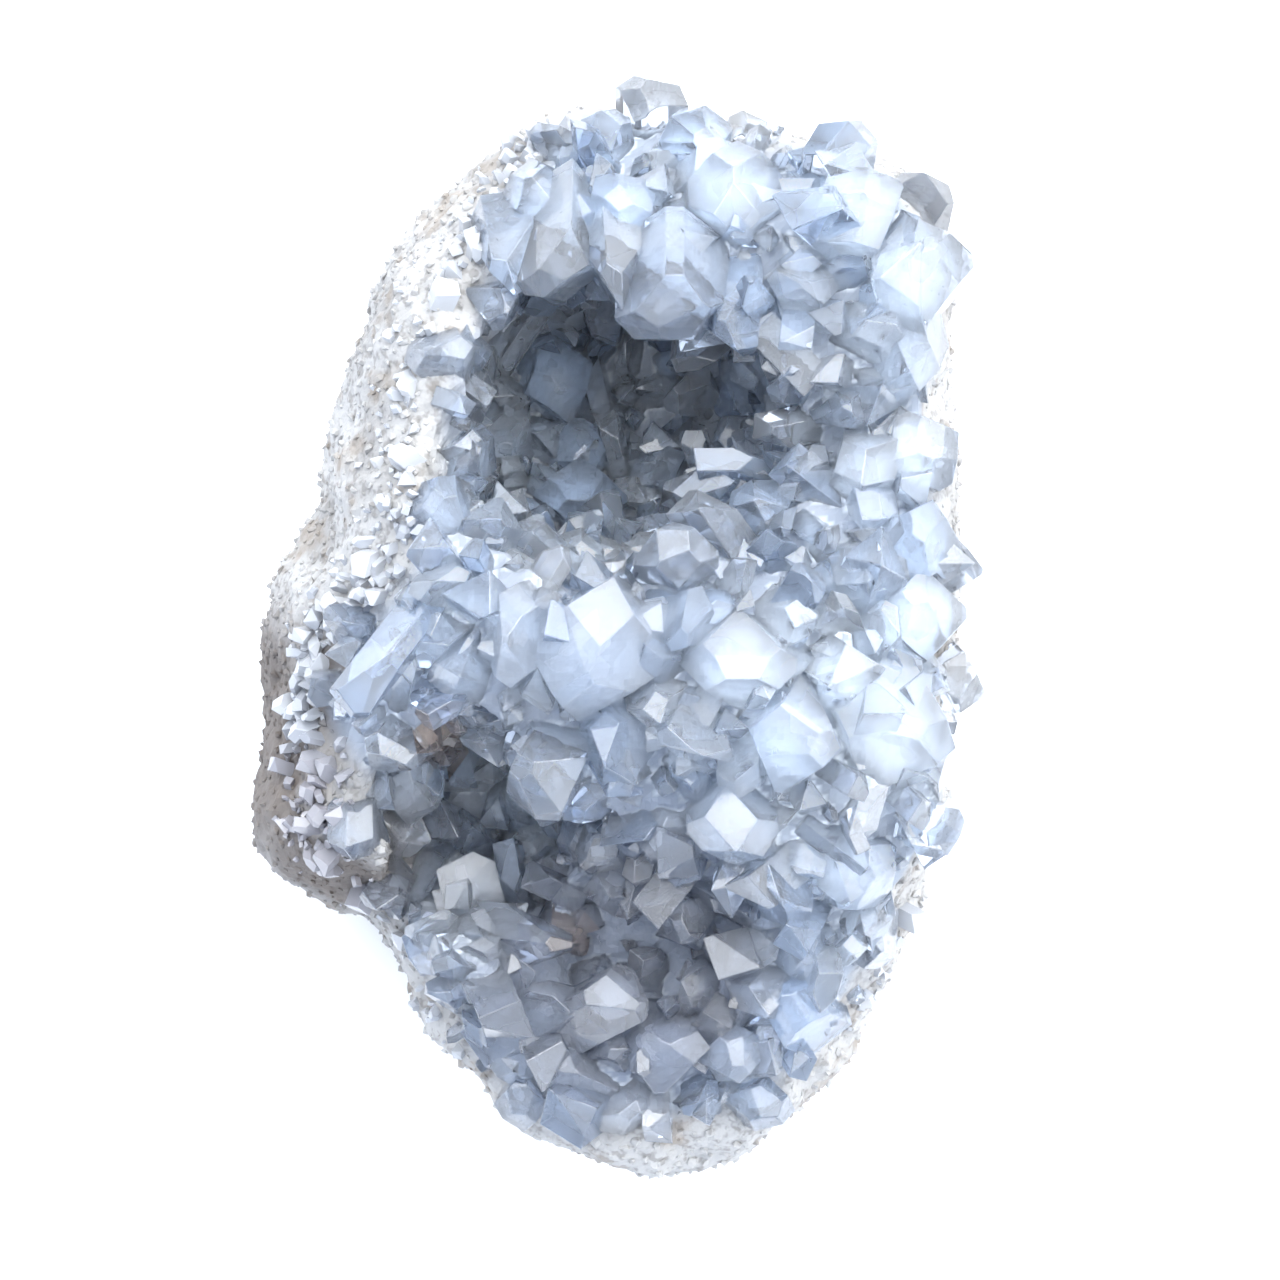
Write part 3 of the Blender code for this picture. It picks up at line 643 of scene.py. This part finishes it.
def crystalPlanes(width, height, habit, chance, sideReach, uneven):
    flatness, blunt, longSlope, shortSlope, flatEnd = habits[habit]
    across = width * sideReach
    thick = across * flatness * chance.uniform(*uneven["thickness"])
    planes = []
    for sx, sy in rhombSides:
        side = Vector((sx * thick, sy * across, 0)).normalized()
        planes.append((side, across * abs(side.x) * chance.uniform(*uneven["side"])))
    for sign in (1, -1):
        planes.append((Vector((sign, 0, 0)), across * (1 - blunt * chance.uniform(*uneven["blunting"]))))
    for side, slope in ((Vector((0, 1, 0)), longSlope), (Vector((1, 0, 0)), shortSlope)):
        for sign in (-1, 1):
            tilt = math.radians(slope + chance.uniform(*uneven["slope"]))
            out = side * sign * math.sin(tilt) + Vector((0, 0, math.cos(tilt)))
            planes.append((out, height * math.cos(tilt) * chance.uniform(*uneven["end"])))
    if flatEnd < 1:
        planes.append((tiltedEnd(uneven["flatEndTilt"], chance), height * flatEnd))
    return planes


def tiltedEnd(tilt, chance):
    return Vector((chance.uniform(*tilt), chance.uniform(*tilt), 1)).normalized()


# A direction by its turn about Z and its tilt from Z
def direction(around, tilt):
    return Vector((math.cos(around) * math.sin(tilt), math.sin(around) * math.sin(tilt), math.cos(tilt)))


# Small breaks across the top corners, which the CAD solid leaves out: how many, their tilts in degrees, and
# where the corner lies and how deep the break is, as shares of the crystal
chipPlan = {
    "each": (0, 1, 1, 2),
    "tilt": (15, 65),
    "across": 0.38,
    "up": 0.72,
    "depth": (0.92, 1.12),
}


def chipPlanes(width, height, chance, plan):
    planes = []
    for _ in range(chance.choice(plan["each"])):
        around = chance.uniform(0, 2 * math.pi)
        out = direction(around, math.radians(chance.uniform(*plan["tilt"])))
        corner = Vector((out.x * width * plan["across"], out.y * width * plan["across"], height * plan["up"]))
        planes.append((out, corner.dot(out) * chance.uniform(*plan["depth"])))
    return planes


def cutFlat(shape, place, out):
    bmesh.ops.bisect_plane(
        shape, geom=shape.verts[:] + shape.edges[:] + shape.faces[:],
        plane_co=place, plane_no=out, clear_outer=True, dist=1e-7,
    )
    rim = [edge for edge in shape.edges if edge.is_boundary]
    if rim:
        bmesh.ops.contextual_create(shape, geom=rim)


# A crystal is cut from a blank this wide, in the same unit as its width, and this many times its height
blankWidth = 60
blankHeight = 1.3


def crystalShape(planes, height, unit, rootDepth, bevel):
    shape = bmesh.new()
    bmesh.ops.create_cube(shape, size=1)
    for vert in shape.verts:
        z = height * blankHeight if vert.co.z > 0 else -rootDepth
        vert.co = Vector((vert.co.x * blankWidth, vert.co.y * blankWidth, z)) * unit
    for out, reach in planes:
        cutFlat(shape, out * reach * unit, out)
    bmesh.ops.remove_doubles(shape, verts=shape.verts[:], dist=bevel * unit)
    bmesh.ops.dissolve_degenerate(shape, edges=shape.edges[:], dist=bevel * unit * 0.5)
    bmesh.ops.bevel(
        shape, geom=shape.edges[:], offset=bevel * unit, segments=1, affect="EDGES", clamp_overlap=True
    )
    bmesh.ops.recalc_face_normals(shape, faces=shape.faces[:])
    return shape


def keepShape(shape, name, library):
    mesh = bpy.data.meshes.new(name)
    shape.to_mesh(mesh)
    shape.free()
    library.objects.link(bpy.data.objects.new(name, mesh))


def upright(axis, turn):
    return axis.to_track_quat("Z", "Y").to_matrix().to_4x4() @ Matrix.Rotation(math.radians(turn), 4, "Z")


# Looks that turn by this angle each time are spread evenly
goldenAngle = 2.39996


# Finds the roots of the crystals on the rock, in the photo's frame, by the same rule as the CAD part
class CrustBed:
    def __init__(self, plan):
        self.plan = plan
        self.tree = treeOf(rockNode.data, drawnShift)
        self.taken = []

    def inHollow(self, place):
        for middle, halves in self.plan["hollows"]:
            away = sum(((p / millimetre - m) / h) ** 2 for p, m, h in zip(place, middle, halves))
            if away < self.plan["hollowSpan"]:
                return True
        return False

    def onFace(self, place):
        angle = math.atan2(place.y, place.x)
        base, right, top = self.plan["edge"]
        edge = base + right * math.cos(angle) + top * math.sin(angle)
        return place.z / millimetre >= edge + self.plan["lowest"]

    def crowded(self, root, width):
        spacing = self.plan["spacing"] * millimetre
        return any((root - other).length < spacing * (width + size) for other, size in self.taken)

    def slope(self, start, look):
        total = Vector()
        side = look.orthogonal().normalized()
        spread = self.plan["slopeSpread"]
        for step in range(6):
            shift = Matrix.Rotation(step * math.pi / 3, 3, look) @ side * spread * millimetre
            normal = self.tree.ray_cast(start + shift, look)[1]
            if normal is not None:
                total += normal
        return total.normalized()

    def listed(self):
        eye = mm(*self.plan["eye"])
        found = []
        for x, y, width, height, leanX, leanY, turn, habit in bigCrystals:
            root = self.tree.ray_cast(eye, (mm(x, y, self.plan["readHeight"]) - eye).normalized())[0]
            leanZ = math.sqrt(max(0.0, 1 - leanX ** 2 - leanY ** 2))
            found.append((root, Vector((leanX, leanY, leanZ)), turn, width, height, habit))
            self.taken.append((root, width))
        return found

    def onTheFace(self):
        plan = self.plan
        chance = random.Random(plan["faceSeed"])
        step, lean, jitter = plan["step"], plan["lean"], plan["jitter"]
        down = Vector((0, 0, -1))
        found = []
        for row in range(*plan["rows"]):
            for column in range(*plan["columns"]):
                x = (column + 0.5 * (row % 2)) * step + chance.uniform(-jitter, jitter)
                y = row * step * plan["rowStep"] + chance.uniform(-jitter, jitter)
                width = chance.uniform(*plan["faceWidth"])
                height = chance.uniform(*plan["faceHeight"])
                leanX = chance.uniform(-lean, lean)
                leanY = chance.uniform(-lean, lean)
                turn = chance.uniform(0, 180)
                habit = chance.choice(plan["faceHabits"])
                if not insideOutline(x, y, plan["outline"]):
                    continue
                above = mm(x, y, plan["overhead"])
                root = self.tree.ray_cast(above, down)[0]
                if root is None or not (self.inHollow(root) or self.onFace(root)):
                    continue
                if self.crowded(root, width):
                    continue
                axis = (self.slope(above, down) + Vector((leanX, leanY, plan["faceLift"]))).normalized()
                self.taken.append((root, width))
                found.append((root, axis, turn, width, height, habit))
        return found

    def onTheWalls(self):
        plan = self.plan
        chance = random.Random(plan["hollowSeed"])
        lean = plan["lean"]
        looks = plan["looks"]
        found = []
        for place, _ in plan["hollows"]:
            middle = mm(*place)
            for index in range(looks):
                rise = 1 - 2 * (index + 0.5) / looks
                around = index * goldenAngle
                level = math.sqrt(1 - rise * rise)
                look = Vector((level * math.cos(around), level * math.sin(around), rise))
                width = chance.uniform(*plan["hollowWidth"])
                height = chance.uniform(*plan["hollowHeight"])
                leaning = Vector([chance.uniform(-lean, lean) for _ in range(3)])
                turn = chance.uniform(0, 180)
                habit = chance.choice(plan["hollowHabits"])
                root = self.tree.ray_cast(middle, look)[0]
                if root is None or not self.inHollow(root):
                    continue
                if root.z / millimetre > plan["highestInHollows"]:
                    continue
                if self.crowded(root, width):
                    continue
                axis = (self.slope(middle, look) * plan["hollowSlope"] + leaning).normalized()
                self.taken.append((root, width))
                found.append((root, axis, turn, width, height, habit))
        return found


# Thin sheets inside a crystal, about parallel to its end faces: how many, how wide as a share of it, how
# ragged, and how far they stay within its faces in millimetres
crackPlan = {
    "each": (2, 2, 3),
    "share": (0.12, 0.38),
    "tilt": 0.3,
    "aside": 0.2,
    "up": (0.0, 0.75),
    "corners": (5, 8),
    "swing": 0.3,
    "ragged": (0.5, 1.1),
    "oval": 0.7,
    "inset": 0.35,
    "facingUp": 0.4,
    "thickness": 0.012,
}


def crackSheets(planes, width, height, chance, plan):
    ends = [out for out, _ in planes if out.z > plan["facingUp"]]
    sheets = []
    for _ in range(chance.choice(plan["each"])):
        tilt, aside, swing = plan["tilt"], plan["aside"], plan["swing"]
        out = chance.choice(ends) + Vector([chance.uniform(-tilt, tilt) for _ in range(3)])
        out.normalize()
        side = out.orthogonal().normalized()
        across = out.cross(side)
        middle = Vector((chance.uniform(-aside, aside) * width, chance.uniform(-aside, aside) * width, 0))
        middle.z = chance.uniform(*plan["up"]) * height
        radius = chance.uniform(*plan["share"]) * width
        count = chance.randint(*plan["corners"])
        rim = []
        for step in range(count):
            angle = 2 * math.pi * (step + chance.uniform(-swing, swing)) / count
            reach = radius * chance.uniform(*plan["ragged"])
            point = middle + side * math.cos(angle) * reach + across * math.sin(angle) * reach * plan["oval"]
            for facing, limit in planes:
                over = point.dot(facing) - limit + plan["inset"]
                if over > 0:
                    point -= facing * over
            rim.append(point)
        half = out * plan["thickness"] / 2
        sheets.append([[point + half for point in rim], [point - half for point in rim]])
    return sheets


# The listed and ruled crystals as separate solids, and the cracks inside them as one mesh
def makeSolids(plan):
    bed = CrustBed(plan)
    every = bed.listed() + bed.onTheFace() + bed.onTheWalls()
    solids = bpy.data.collections.new("bigCrystals")
    corners, faces, shades = [], [], []
    for index, (root, axis, turn, width, height, habit) in enumerate(every):
        chance = random.Random(plan["crystalSeed"] + index)
        asListed = index < len(bigCrystals) and width <= plan["slimmedFrom"]
        width *= plan["listedSlimming"] if asListed else plan["slimming"]
        if root.x / millimetre > plan["straightBeyond"]:
            axis = Vector((axis.x * plan["straightLean"], axis.y, axis.z)).normalized()
        planes = crystalPlanes(width, height, habit, chance, plan["sideReach"], unevenness)
        planes += chipPlanes(width, height, chance, chipPlan)
        shape = crystalShape(planes, height, millimetre, plan["rootDepth"], plan["bevel"])
        place = Matrix.Translation(root + drawnShift) @ upright(axis, turn)
        shape.transform(place)
        addTint(shape, chance.random())
        keepShape(shape, f"crystal{index}", solids)
        for top, bottom in crackSheets(planes, width, height, chance, crackPlan):
            first, count = len(corners), len(top)
            shades.extend([chance.random()] * (count * 2))
            corners.extend(place @ (point * millimetre) for point in top + bottom)
            faces.append([first + i for i in range(count)])
            faces.append([first + count + i for i in reversed(range(count))])
            for i in range(count):
                j = (i + 1) % count
                faces.append([first + j, first + i, first + count + i, first + count + j])
    cracks = bpy.data.meshes.new("crystalCracks")
    cracks.from_pydata(corners, [], faces)
    giveValues(cracks, "tint", shades)
    return solids, newPiece("crystalCracks", cracks, healedCrack)


def addTint(shape, shade):
    tint = shape.faces.layers.float.new("tint")
    for face in shape.faces:
        face[tint] = shade


# A library of crystals one wide, for the growths below: how each ends, and its shape in widths and degrees
smallKinds = {
    "ends": [
        "wedge", "point", "slab", "broken", "wedge", "point", "broken", "slab", "wedge", "point", "broken",
    ],
    "height": (0.9, 1.3),
    "spread": (38, 62),
    "side": (0.32, 0.42),
    "slope": (30, 58),
    "twist": 0.25,
    "endDepth": (0.9, 1.0),
    "slabHalf": 0.2,
    "flatEnd": 0.85,
    "rootDepth": 0.6,
    "bevel": 0.015,
    "seed": 71,
}


# A rhombic prism one wide, ended by two or four slopes or a single break
def shardPlanes(height, end, chance, kinds):
    spread = math.radians(chance.uniform(*kinds["spread"]))
    planes = []
    for sx, sy in rhombSides:
        side = Vector((sx * math.cos(spread), sy * math.sin(spread), 0))
        planes.append((side, chance.uniform(*kinds["side"])))
    slopes = {"wedge": (1, 1, 0, 0), "point": (1, 1, 1, 1), "slab": (0, 0, 1, 1), "broken": (1, 0, 0, 0)}[end]
    for used, around in zip(slopes, (0, math.pi, math.pi / 2, math.pi * 1.5)):
        if used:
            tilt = math.radians(chance.uniform(*kinds["slope"]))
            out = direction(around + chance.uniform(-kinds["twist"], kinds["twist"]), tilt)
            planes.append((out, height * math.cos(tilt) * chance.uniform(*kinds["endDepth"])))
    if end == "slab":
        planes += [(Vector((sign, 0, 0)), kinds["slabHalf"]) for sign in (1, -1)]
    if end == "broken":
        planes.append((tiltedEnd(unevenness["flatEndTilt"], chance), height * kinds["flatEnd"]))
    return planes


def makeKinds(kinds):
    library = bpy.data.collections.new("crystalKinds")
    chance = random.Random(kinds["seed"])
    for index, end in enumerate(kinds["ends"]):
        height = chance.uniform(*kinds["height"])
        planes = shardPlanes(height, end, chance, kinds)
        shape = crystalShape(planes, height, 1, kinds["rootDepth"], kinds["bevel"])
        addTint(shape, chance.random())
        keepShape(shape, f"crystalKind{index}", library)
    return library


# A library of angular grains one wide
angularGrains = {"count": 6, "ragged": (0.6, 1.25), "seed": 5}


def makeGrains(plan):
    library = bpy.data.collections.new("grainKinds")
    chance = random.Random(plan["seed"])
    for index in range(plan["count"]):
        shape = bmesh.new()
        bmesh.ops.create_icosphere(shape, subdivisions=1, radius=0.5)
        for vert in shape.verts:
            vert.co *= chance.uniform(*plan["ragged"])
        hull = bmesh.ops.convex_hull(shape, input=shape.verts[:])
        loose = [part for part in hull["geom_interior"] if isinstance(part, bmesh.types.BMVert)]
        bmesh.ops.delete(shape, geom=loose, context="VERTS")
        bmesh.ops.recalc_face_normals(shape, faces=shape.faces[:])
        keepShape(shape, f"grainKind{index}", library)
    return library


# How much the scattered kinds differ, as shares: their height, their second width, and their size where the
# growth ends
scatterSpread = {"height": (0.75, 1.35), "width": (0.7, 1.1), "leastSize": 0.4}

# Scatters kinds from a library over a surface as instances: how far apart, how large, how much they lean and
# stand up, and the attribute that says where
scatterInputs = (
    ("Geometry", "Geometry"), ("Spacing", "Float"), ("Smallest", "Float"), ("Largest", "Float"),
    ("Stretch", "Float"), ("Lean", "Float"), ("Lift", "Float"), ("Where", "String"),
    ("Kinds", "Collection"), ("Seed", "Int"),
)


def newGroup(name, inputs):
    tree = bpy.data.node_groups.new(name, "GeometryNodeTree")
    for label, kind in inputs:
        tree.interface.new_socket(label, in_out="INPUT", socket_type="NodeSocket" + kind)
    tree.interface.new_socket("Geometry", in_out="OUTPUT", socket_type="NodeSocketGeometry")
    net = Net(tree)
    return tree, net, net.add("NodeGroupInput", {}, {})


def scatterTree(differing):
    tree, net, given = newGroup("scatter", scatterInputs)
    spacing, seed, lean = given.out("Spacing"), given.out("Seed"), given.out("Lean")
    where = net.add("GeometryNodeInputNamedAttribute", {"data_type": "FLOAT"}, {"Name": given.out("Where")})
    points = net.add(
        "GeometryNodeDistributePointsOnFaces", {"distribute_method": "POISSON"},
        {
            "Mesh": given.out("Geometry"), "Distance Min": spacing, "Density Max": 2.0 / (spacing * spacing),
            "Density Factor": where, "Seed": seed,
        }, "Points",
    )

    def chance(low, high, salt, kind="FLOAT"):
        return net.add(
            "FunctionNodeRandomValue", {"data_type": kind},
            {"Min": low, "Max": high, "Seed": seed + salt}, "Value",
        )

    leaning = net.add(
        "ShaderNodeVectorMath", {"operation": "SCALE"},
        {0: chance((-1, -1, -1), (1, 1, 1), 1, "FLOAT_VECTOR"), "Scale": lean}, "Vector",
    )
    standing = net.add("ShaderNodeCombineXYZ", {}, {"Z": given.out("Lift")})
    aim = net.vectors("ADD", points.out("Normal"), leaning, "Vector")
    aim = net.vectors("ADD", aim, standing, "Vector")
    stand = net.add("FunctionNodeAlignRotationToVector", {"axis": "Z"}, {"Vector": aim})
    spin = net.add("ShaderNodeCombineXYZ", {}, {"Z": chance(0.0, 2 * math.pi, 2)})
    turned = net.add(
        "FunctionNodeRotateRotation", {"rotation_space": "LOCAL"},
        {"Rotation": stand, "Rotate By": net.add("FunctionNodeEulerToRotation", {}, {"Euler": spin})},
    )
    share = chance(0.0, 1.0, 3)
    size = given.out("Smallest") + (given.out("Largest") - given.out("Smallest")) * share * share
    least = differing["leastSize"]
    size = size * (where * (1 - least) + least)
    tall = size * given.out("Stretch") * chance(*differing["height"], 4)
    wide = size * chance(*differing["width"], 5)
    scale = net.add("ShaderNodeCombineXYZ", {}, {"X": size, "Y": wide, "Z": tall})
    kinds = net.add(
        "GeometryNodeCollectionInfo", {},
        {"Collection": given.out("Kinds"), "Separate Children": True, "Reset Children": True},
    )
    grown = net.add(
        "GeometryNodeInstanceOnPoints", {},
        {"Points": points, "Instance": kinds, "Pick Instance": True, "Rotation": turned, "Scale": scale},
    )
    net.add("NodeGroupOutput", {}, {"Geometry": grown})
    return tree


scatter = scatterTree(scatterSpread)


# Loose pieces on a surface
def grainTree():
    tree, net, given = newGroup("grains", scatterInputs + (("Finish", "Material"),))
    grown = net.add(
        "GeometryNodeGroup", {"node_tree": scatter}, {label: given.out(label) for label, _ in scatterInputs}
    )
    seed = given.out("Seed")
    shade = net.add("FunctionNodeRandomValue", {"data_type": "FLOAT"}, {"Seed": seed + 6}, "Value")
    tinted = net.add(
        "GeometryNodeStoreNamedAttribute", {"data_type": "FLOAT", "domain": "INSTANCE"},
        {"Geometry": grown, "Name": "tint", "Value": shade},
    )
    real = net.add("GeometryNodeRealizeInstances", {}, {"Geometry": tinted})
    finished = net.add("GeometryNodeSetMaterial", {}, {"Geometry": real, "Material": given.out("Finish")})
    net.add("NodeGroupOutput", {}, {"Geometry": finished})
    return tree


# The crust: the big crystals and two sizes of smaller ones between them, one solid without inner walls
crustInputs = (
    ("Geometry", "Geometry"), ("Big Crystals", "Collection"), ("Kinds", "Collection"), ("Where", "String"),
    ("Middle Spacing", "Float"), ("Middle Smallest", "Float"), ("Middle Largest", "Float"),
    ("Small Spacing", "Float"), ("Small Smallest", "Float"), ("Small Largest", "Float"),
    ("Stretch", "Float"), ("Lean", "Float"), ("Lift", "Float"), ("Seed", "Int"), ("Finish", "Material"),
)


def crustTree():
    tree, net, given = newGroup("crust", crustInputs)

    def layer(size, salt):
        shared = ("Geometry", "Kinds", "Where", "Stretch", "Lean", "Lift")
        return net.add(
            "GeometryNodeGroup", {"node_tree": scatter},
            {
                **{label: given.out(label) for label in shared},
                **{label: given.out(f"{size} {label}") for label in ("Spacing", "Smallest", "Largest")},
                "Seed": given.out("Seed") + salt,
            },
        )

    big = net.add(
        "GeometryNodeCollectionInfo", {}, {"Collection": given.out("Big Crystals"), "Separate Children": True}
    )
    joined = net.add(
        "GeometryNodeMeshBoolean", {"operation": "UNION", "solver": "MANIFOLD"},
        {1: [big, layer("Middle", 0), layer("Small", 10)]},
    )
    real = net.add("GeometryNodeRealizeInstances", {}, {"Geometry": joined})
    finished = net.add("GeometryNodeSetMaterial", {}, {"Geometry": real, "Material": given.out("Finish")})
    net.add("NodeGroupOutput", {}, {"Geometry": finished})
    return tree


def grow(name, ground, tree, material, settings):
    growing = ground.copy()
    growing.data = ground.data.copy()
    scene.collection.objects.link(growing)
    maker = growing.modifiers.new("growth", "NODES")
    maker.node_group = tree
    for item in tree.interface.items_tree:
        if item.in_out == "INPUT" and item.name in settings:
            maker[item.identifier] = settings[item.name]
    mesh = finishedMesh(growing)
    bpy.data.objects.remove(growing)
    made = newPiece(name, mesh, material)
    print(name, "grown:", len(mesh.polygons), "faces")
    return made


rockLump = makeRock(rockShape)
print("rock made:", len(rockLump.data.polygons), "faces")
bigSolids, crystalCracks = makeSolids(crustPlan)
crystalKinds = makeKinds(smallKinds)
grainKinds = makeGrains(angularGrains)

crustGrowth = {
    "Big Crystals": bigSolids, "Kinds": crystalKinds, "Where": "growing",
    "Middle Spacing": 0.0044, "Middle Smallest": 0.0045, "Middle Largest": 0.0084,
    "Small Spacing": 0.0035, "Small Smallest": 0.0024, "Small Largest": 0.0050,
    "Stretch": 1.0, "Lean": 0.85, "Lift": 0.2, "Seed": 3, "Finish": celestite,
}
grainGrowth = {
    "Spacing": 0.0014, "Smallest": 0.0006, "Largest": 0.0016, "Stretch": 0.8, "Lean": 0.8, "Lift": 0.0,
    "Where": "bare", "Kinds": grainKinds, "Finish": paleRock, "Seed": 8,
}
drusyGrowth = {
    "Spacing": 0.0012, "Smallest": 0.0010, "Largest": 0.0034, "Stretch": 0.9, "Lean": 0.9, "Lift": 0.5,
    "Where": "drusy", "Kinds": crystalKinds, "Finish": milkyDruse, "Seed": 5,
}


# Paints shade on the rock where it shows in the gaps between the crystals
def paintShadeInGaps(rock, crust, share):
    tree = treeOf(crust.data)
    layer = rock.data.attributes["bedShade"].data
    shades = [0.0] * len(layer)
    layer.foreach_get("value", shades)
    for index, vert in enumerate(rock.data.vertices):
        facing = tree.ray_cast(vert.co, vert.normal)[1]
        if facing is None or facing.dot(vert.normal) < 0:
            shades[index] *= share
    layer.foreach_set("value", shades)


# Writes on the faces how milky, blue, blushed or greyed with painted shade they are: as the shades say, or
# more where a spot does
def shadeFaces(piece, spots, shades):
    mesh = piece.data
    for name, drawn in spots.items():
        values = shades.setdefault(name, [0.0] * len(mesh.polygons))
        for (x, y), reach, strength in drawn:
            middle = mm(x, y) + drawnShift.xy
            for face in mesh.polygons:
                away = (face.center.xy - middle).length / millimetre
                if away < reach:
                    near = strength * (1 - smoothStep(reach * crystalSpotCore, reach, away))
                    values[face.index] = max(values[face.index], near)
    for name, values in shades.items():
        layer = mesh.attributes.get(name) or mesh.attributes.new(name, "FLOAT", "FACE")
        layer.data.foreach_set("value", values)


crystalCrust = grow("crystalCrust", rockLump, crustTree(), celestite, crustGrowth)
tint = [0.0] * len(crystalCrust.data.polygons)
crystalCrust.data.attributes["tint"].data.foreach_get("value", tint)
stirred = [value * milkyChance["stir"] % 1 for value in tint]
milky = [milkyChance["most"] * smoothStep(*milkyChance["among"], value) for value in stirred]
shadeFaces(crystalCrust, crystalSpots, {"tint": tint, "milky": milky})
paintShadeInGaps(rockLump, crystalCrust, rockShape["bedPaintedShadeInGaps"])
looseTree = grainTree()
rockGrains = grow("rockGrains", rockLump, looseTree, paleRock, grainGrowth)
paleDruse = grow("paleDruse", rockLump, looseTree, milkyDruse, drusyGrowth)
shadeFaces(paleDruse, drusySpots, {})

for piece in (crystalCrust, crystalCracks, paleDruse):
    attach(piece, "root")
    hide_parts("celestite_crust")
for piece in (rockLump, rockGrains):
    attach(piece, "root")
    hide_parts("host_rock")


# The studio: a pale floor, a sky that is bright towards the top of the picture with soft panels of light in
# it, and the photo's own viewpoint, straight down
studio = {
    "floorHalf": 1.5,
    "floorColour": colour(0.90, 0.90, 0.91),
    "floorRoughness": 0.9,
    "fibreScale": 30,
    "fibreShare": 0.1,
    "skyLight": colour(0.95, 0.975, 1.0),
    "skyDark": colour(0.40, 0.50, 0.68),
    "skyTowards": (0.45, 0.65, 0.6),
    "skySpread": (-0.7, 0.95),
    "skyStrength": 1.8,
    "panels": [
        ((0.30, 0.45, 0.55), (0.82, 0.95), 5.2),
        ((-0.25, 0.38, 0.62), (0.88, 0.98), 4.2),
        ((0.50, -0.30, 0.60), (0.86, 0.98), 2.4),
    ],
    "camera": (0.002836, -0.001187, 0.53),
    "lens": 118.1,
    "sensor": 36,
    "bounces": 5,
    "softBounces": 2,
}


def makeStudio(plan):
    half = plan["floorHalf"]
    mesh = bpy.data.meshes.new("floor")
    corners = [(-half, -half, 0), (half, -half, 0), (half, half, 0), (-half, half, 0)]
    mesh.from_pydata(corners, [], [(0, 1, 2, 3)])
    paper, net, place = newMaterial("paper")
    fibres = net.noise(place, plan["fibreScale"], 1) * plan["fibreShare"]
    skin = net.blend(fibres, plan["floorColour"], colour(1, 1, 1))
    body = net.add(
        "ShaderNodeBsdfPrincipled", {}, {"Base Color": skin, "Roughness": plan["floorRoughness"]}
    )
    net.add("ShaderNodeOutputMaterial", {}, {"Surface": body})
    newPiece("floor", mesh, paper)
    world = bpy.data.worlds.new("sky")
    world.use_nodes = True
    scene.world = world
    world.node_tree.nodes.clear()
    net = Net(world.node_tree)
    way = net.add("ShaderNodeTexCoord", {}, {}, "Object")

    def near(towards, spread):
        towards = Vector(towards).normalized()
        return net.between(net.vectors("DOT_PRODUCT", way, towards, "Value"), *spread)

    strength = plan["skyStrength"]
    for towards, spread, added in plan["panels"]:
        strength = near(towards, spread) * added + strength
    light = net.blend(near(plan["skyTowards"], plan["skySpread"]), plan["skyDark"], plan["skyLight"])
    sky = net.add("ShaderNodeBackground", {}, {"Color": light, "Strength": strength})
    net.add("ShaderNodeOutputWorld", {}, {"Surface": sky})
    world.cycles.sampling_method = "NONE"
    lens = bpy.data.cameras.new("photoView")
    lens.lens = plan["lens"]
    lens.sensor_width = plan["sensor"]
    holder = bpy.data.objects.new("photoView", lens)
    holder.location = plan["camera"]
    scene.collection.objects.link(holder)
    scene.camera = holder
    scene.view_settings.view_transform = "Standard"
    scene.cycles.max_bounces = plan["bounces"]
    scene.cycles.transmission_bounces = plan["bounces"]
    scene.cycles.diffuse_bounces = plan["softBounces"]
    scene.cycles.glossy_bounces = plan["softBounces"]
    scene.cycles.caustics_reflective = False


makeStudio(studio)
print("studio made")
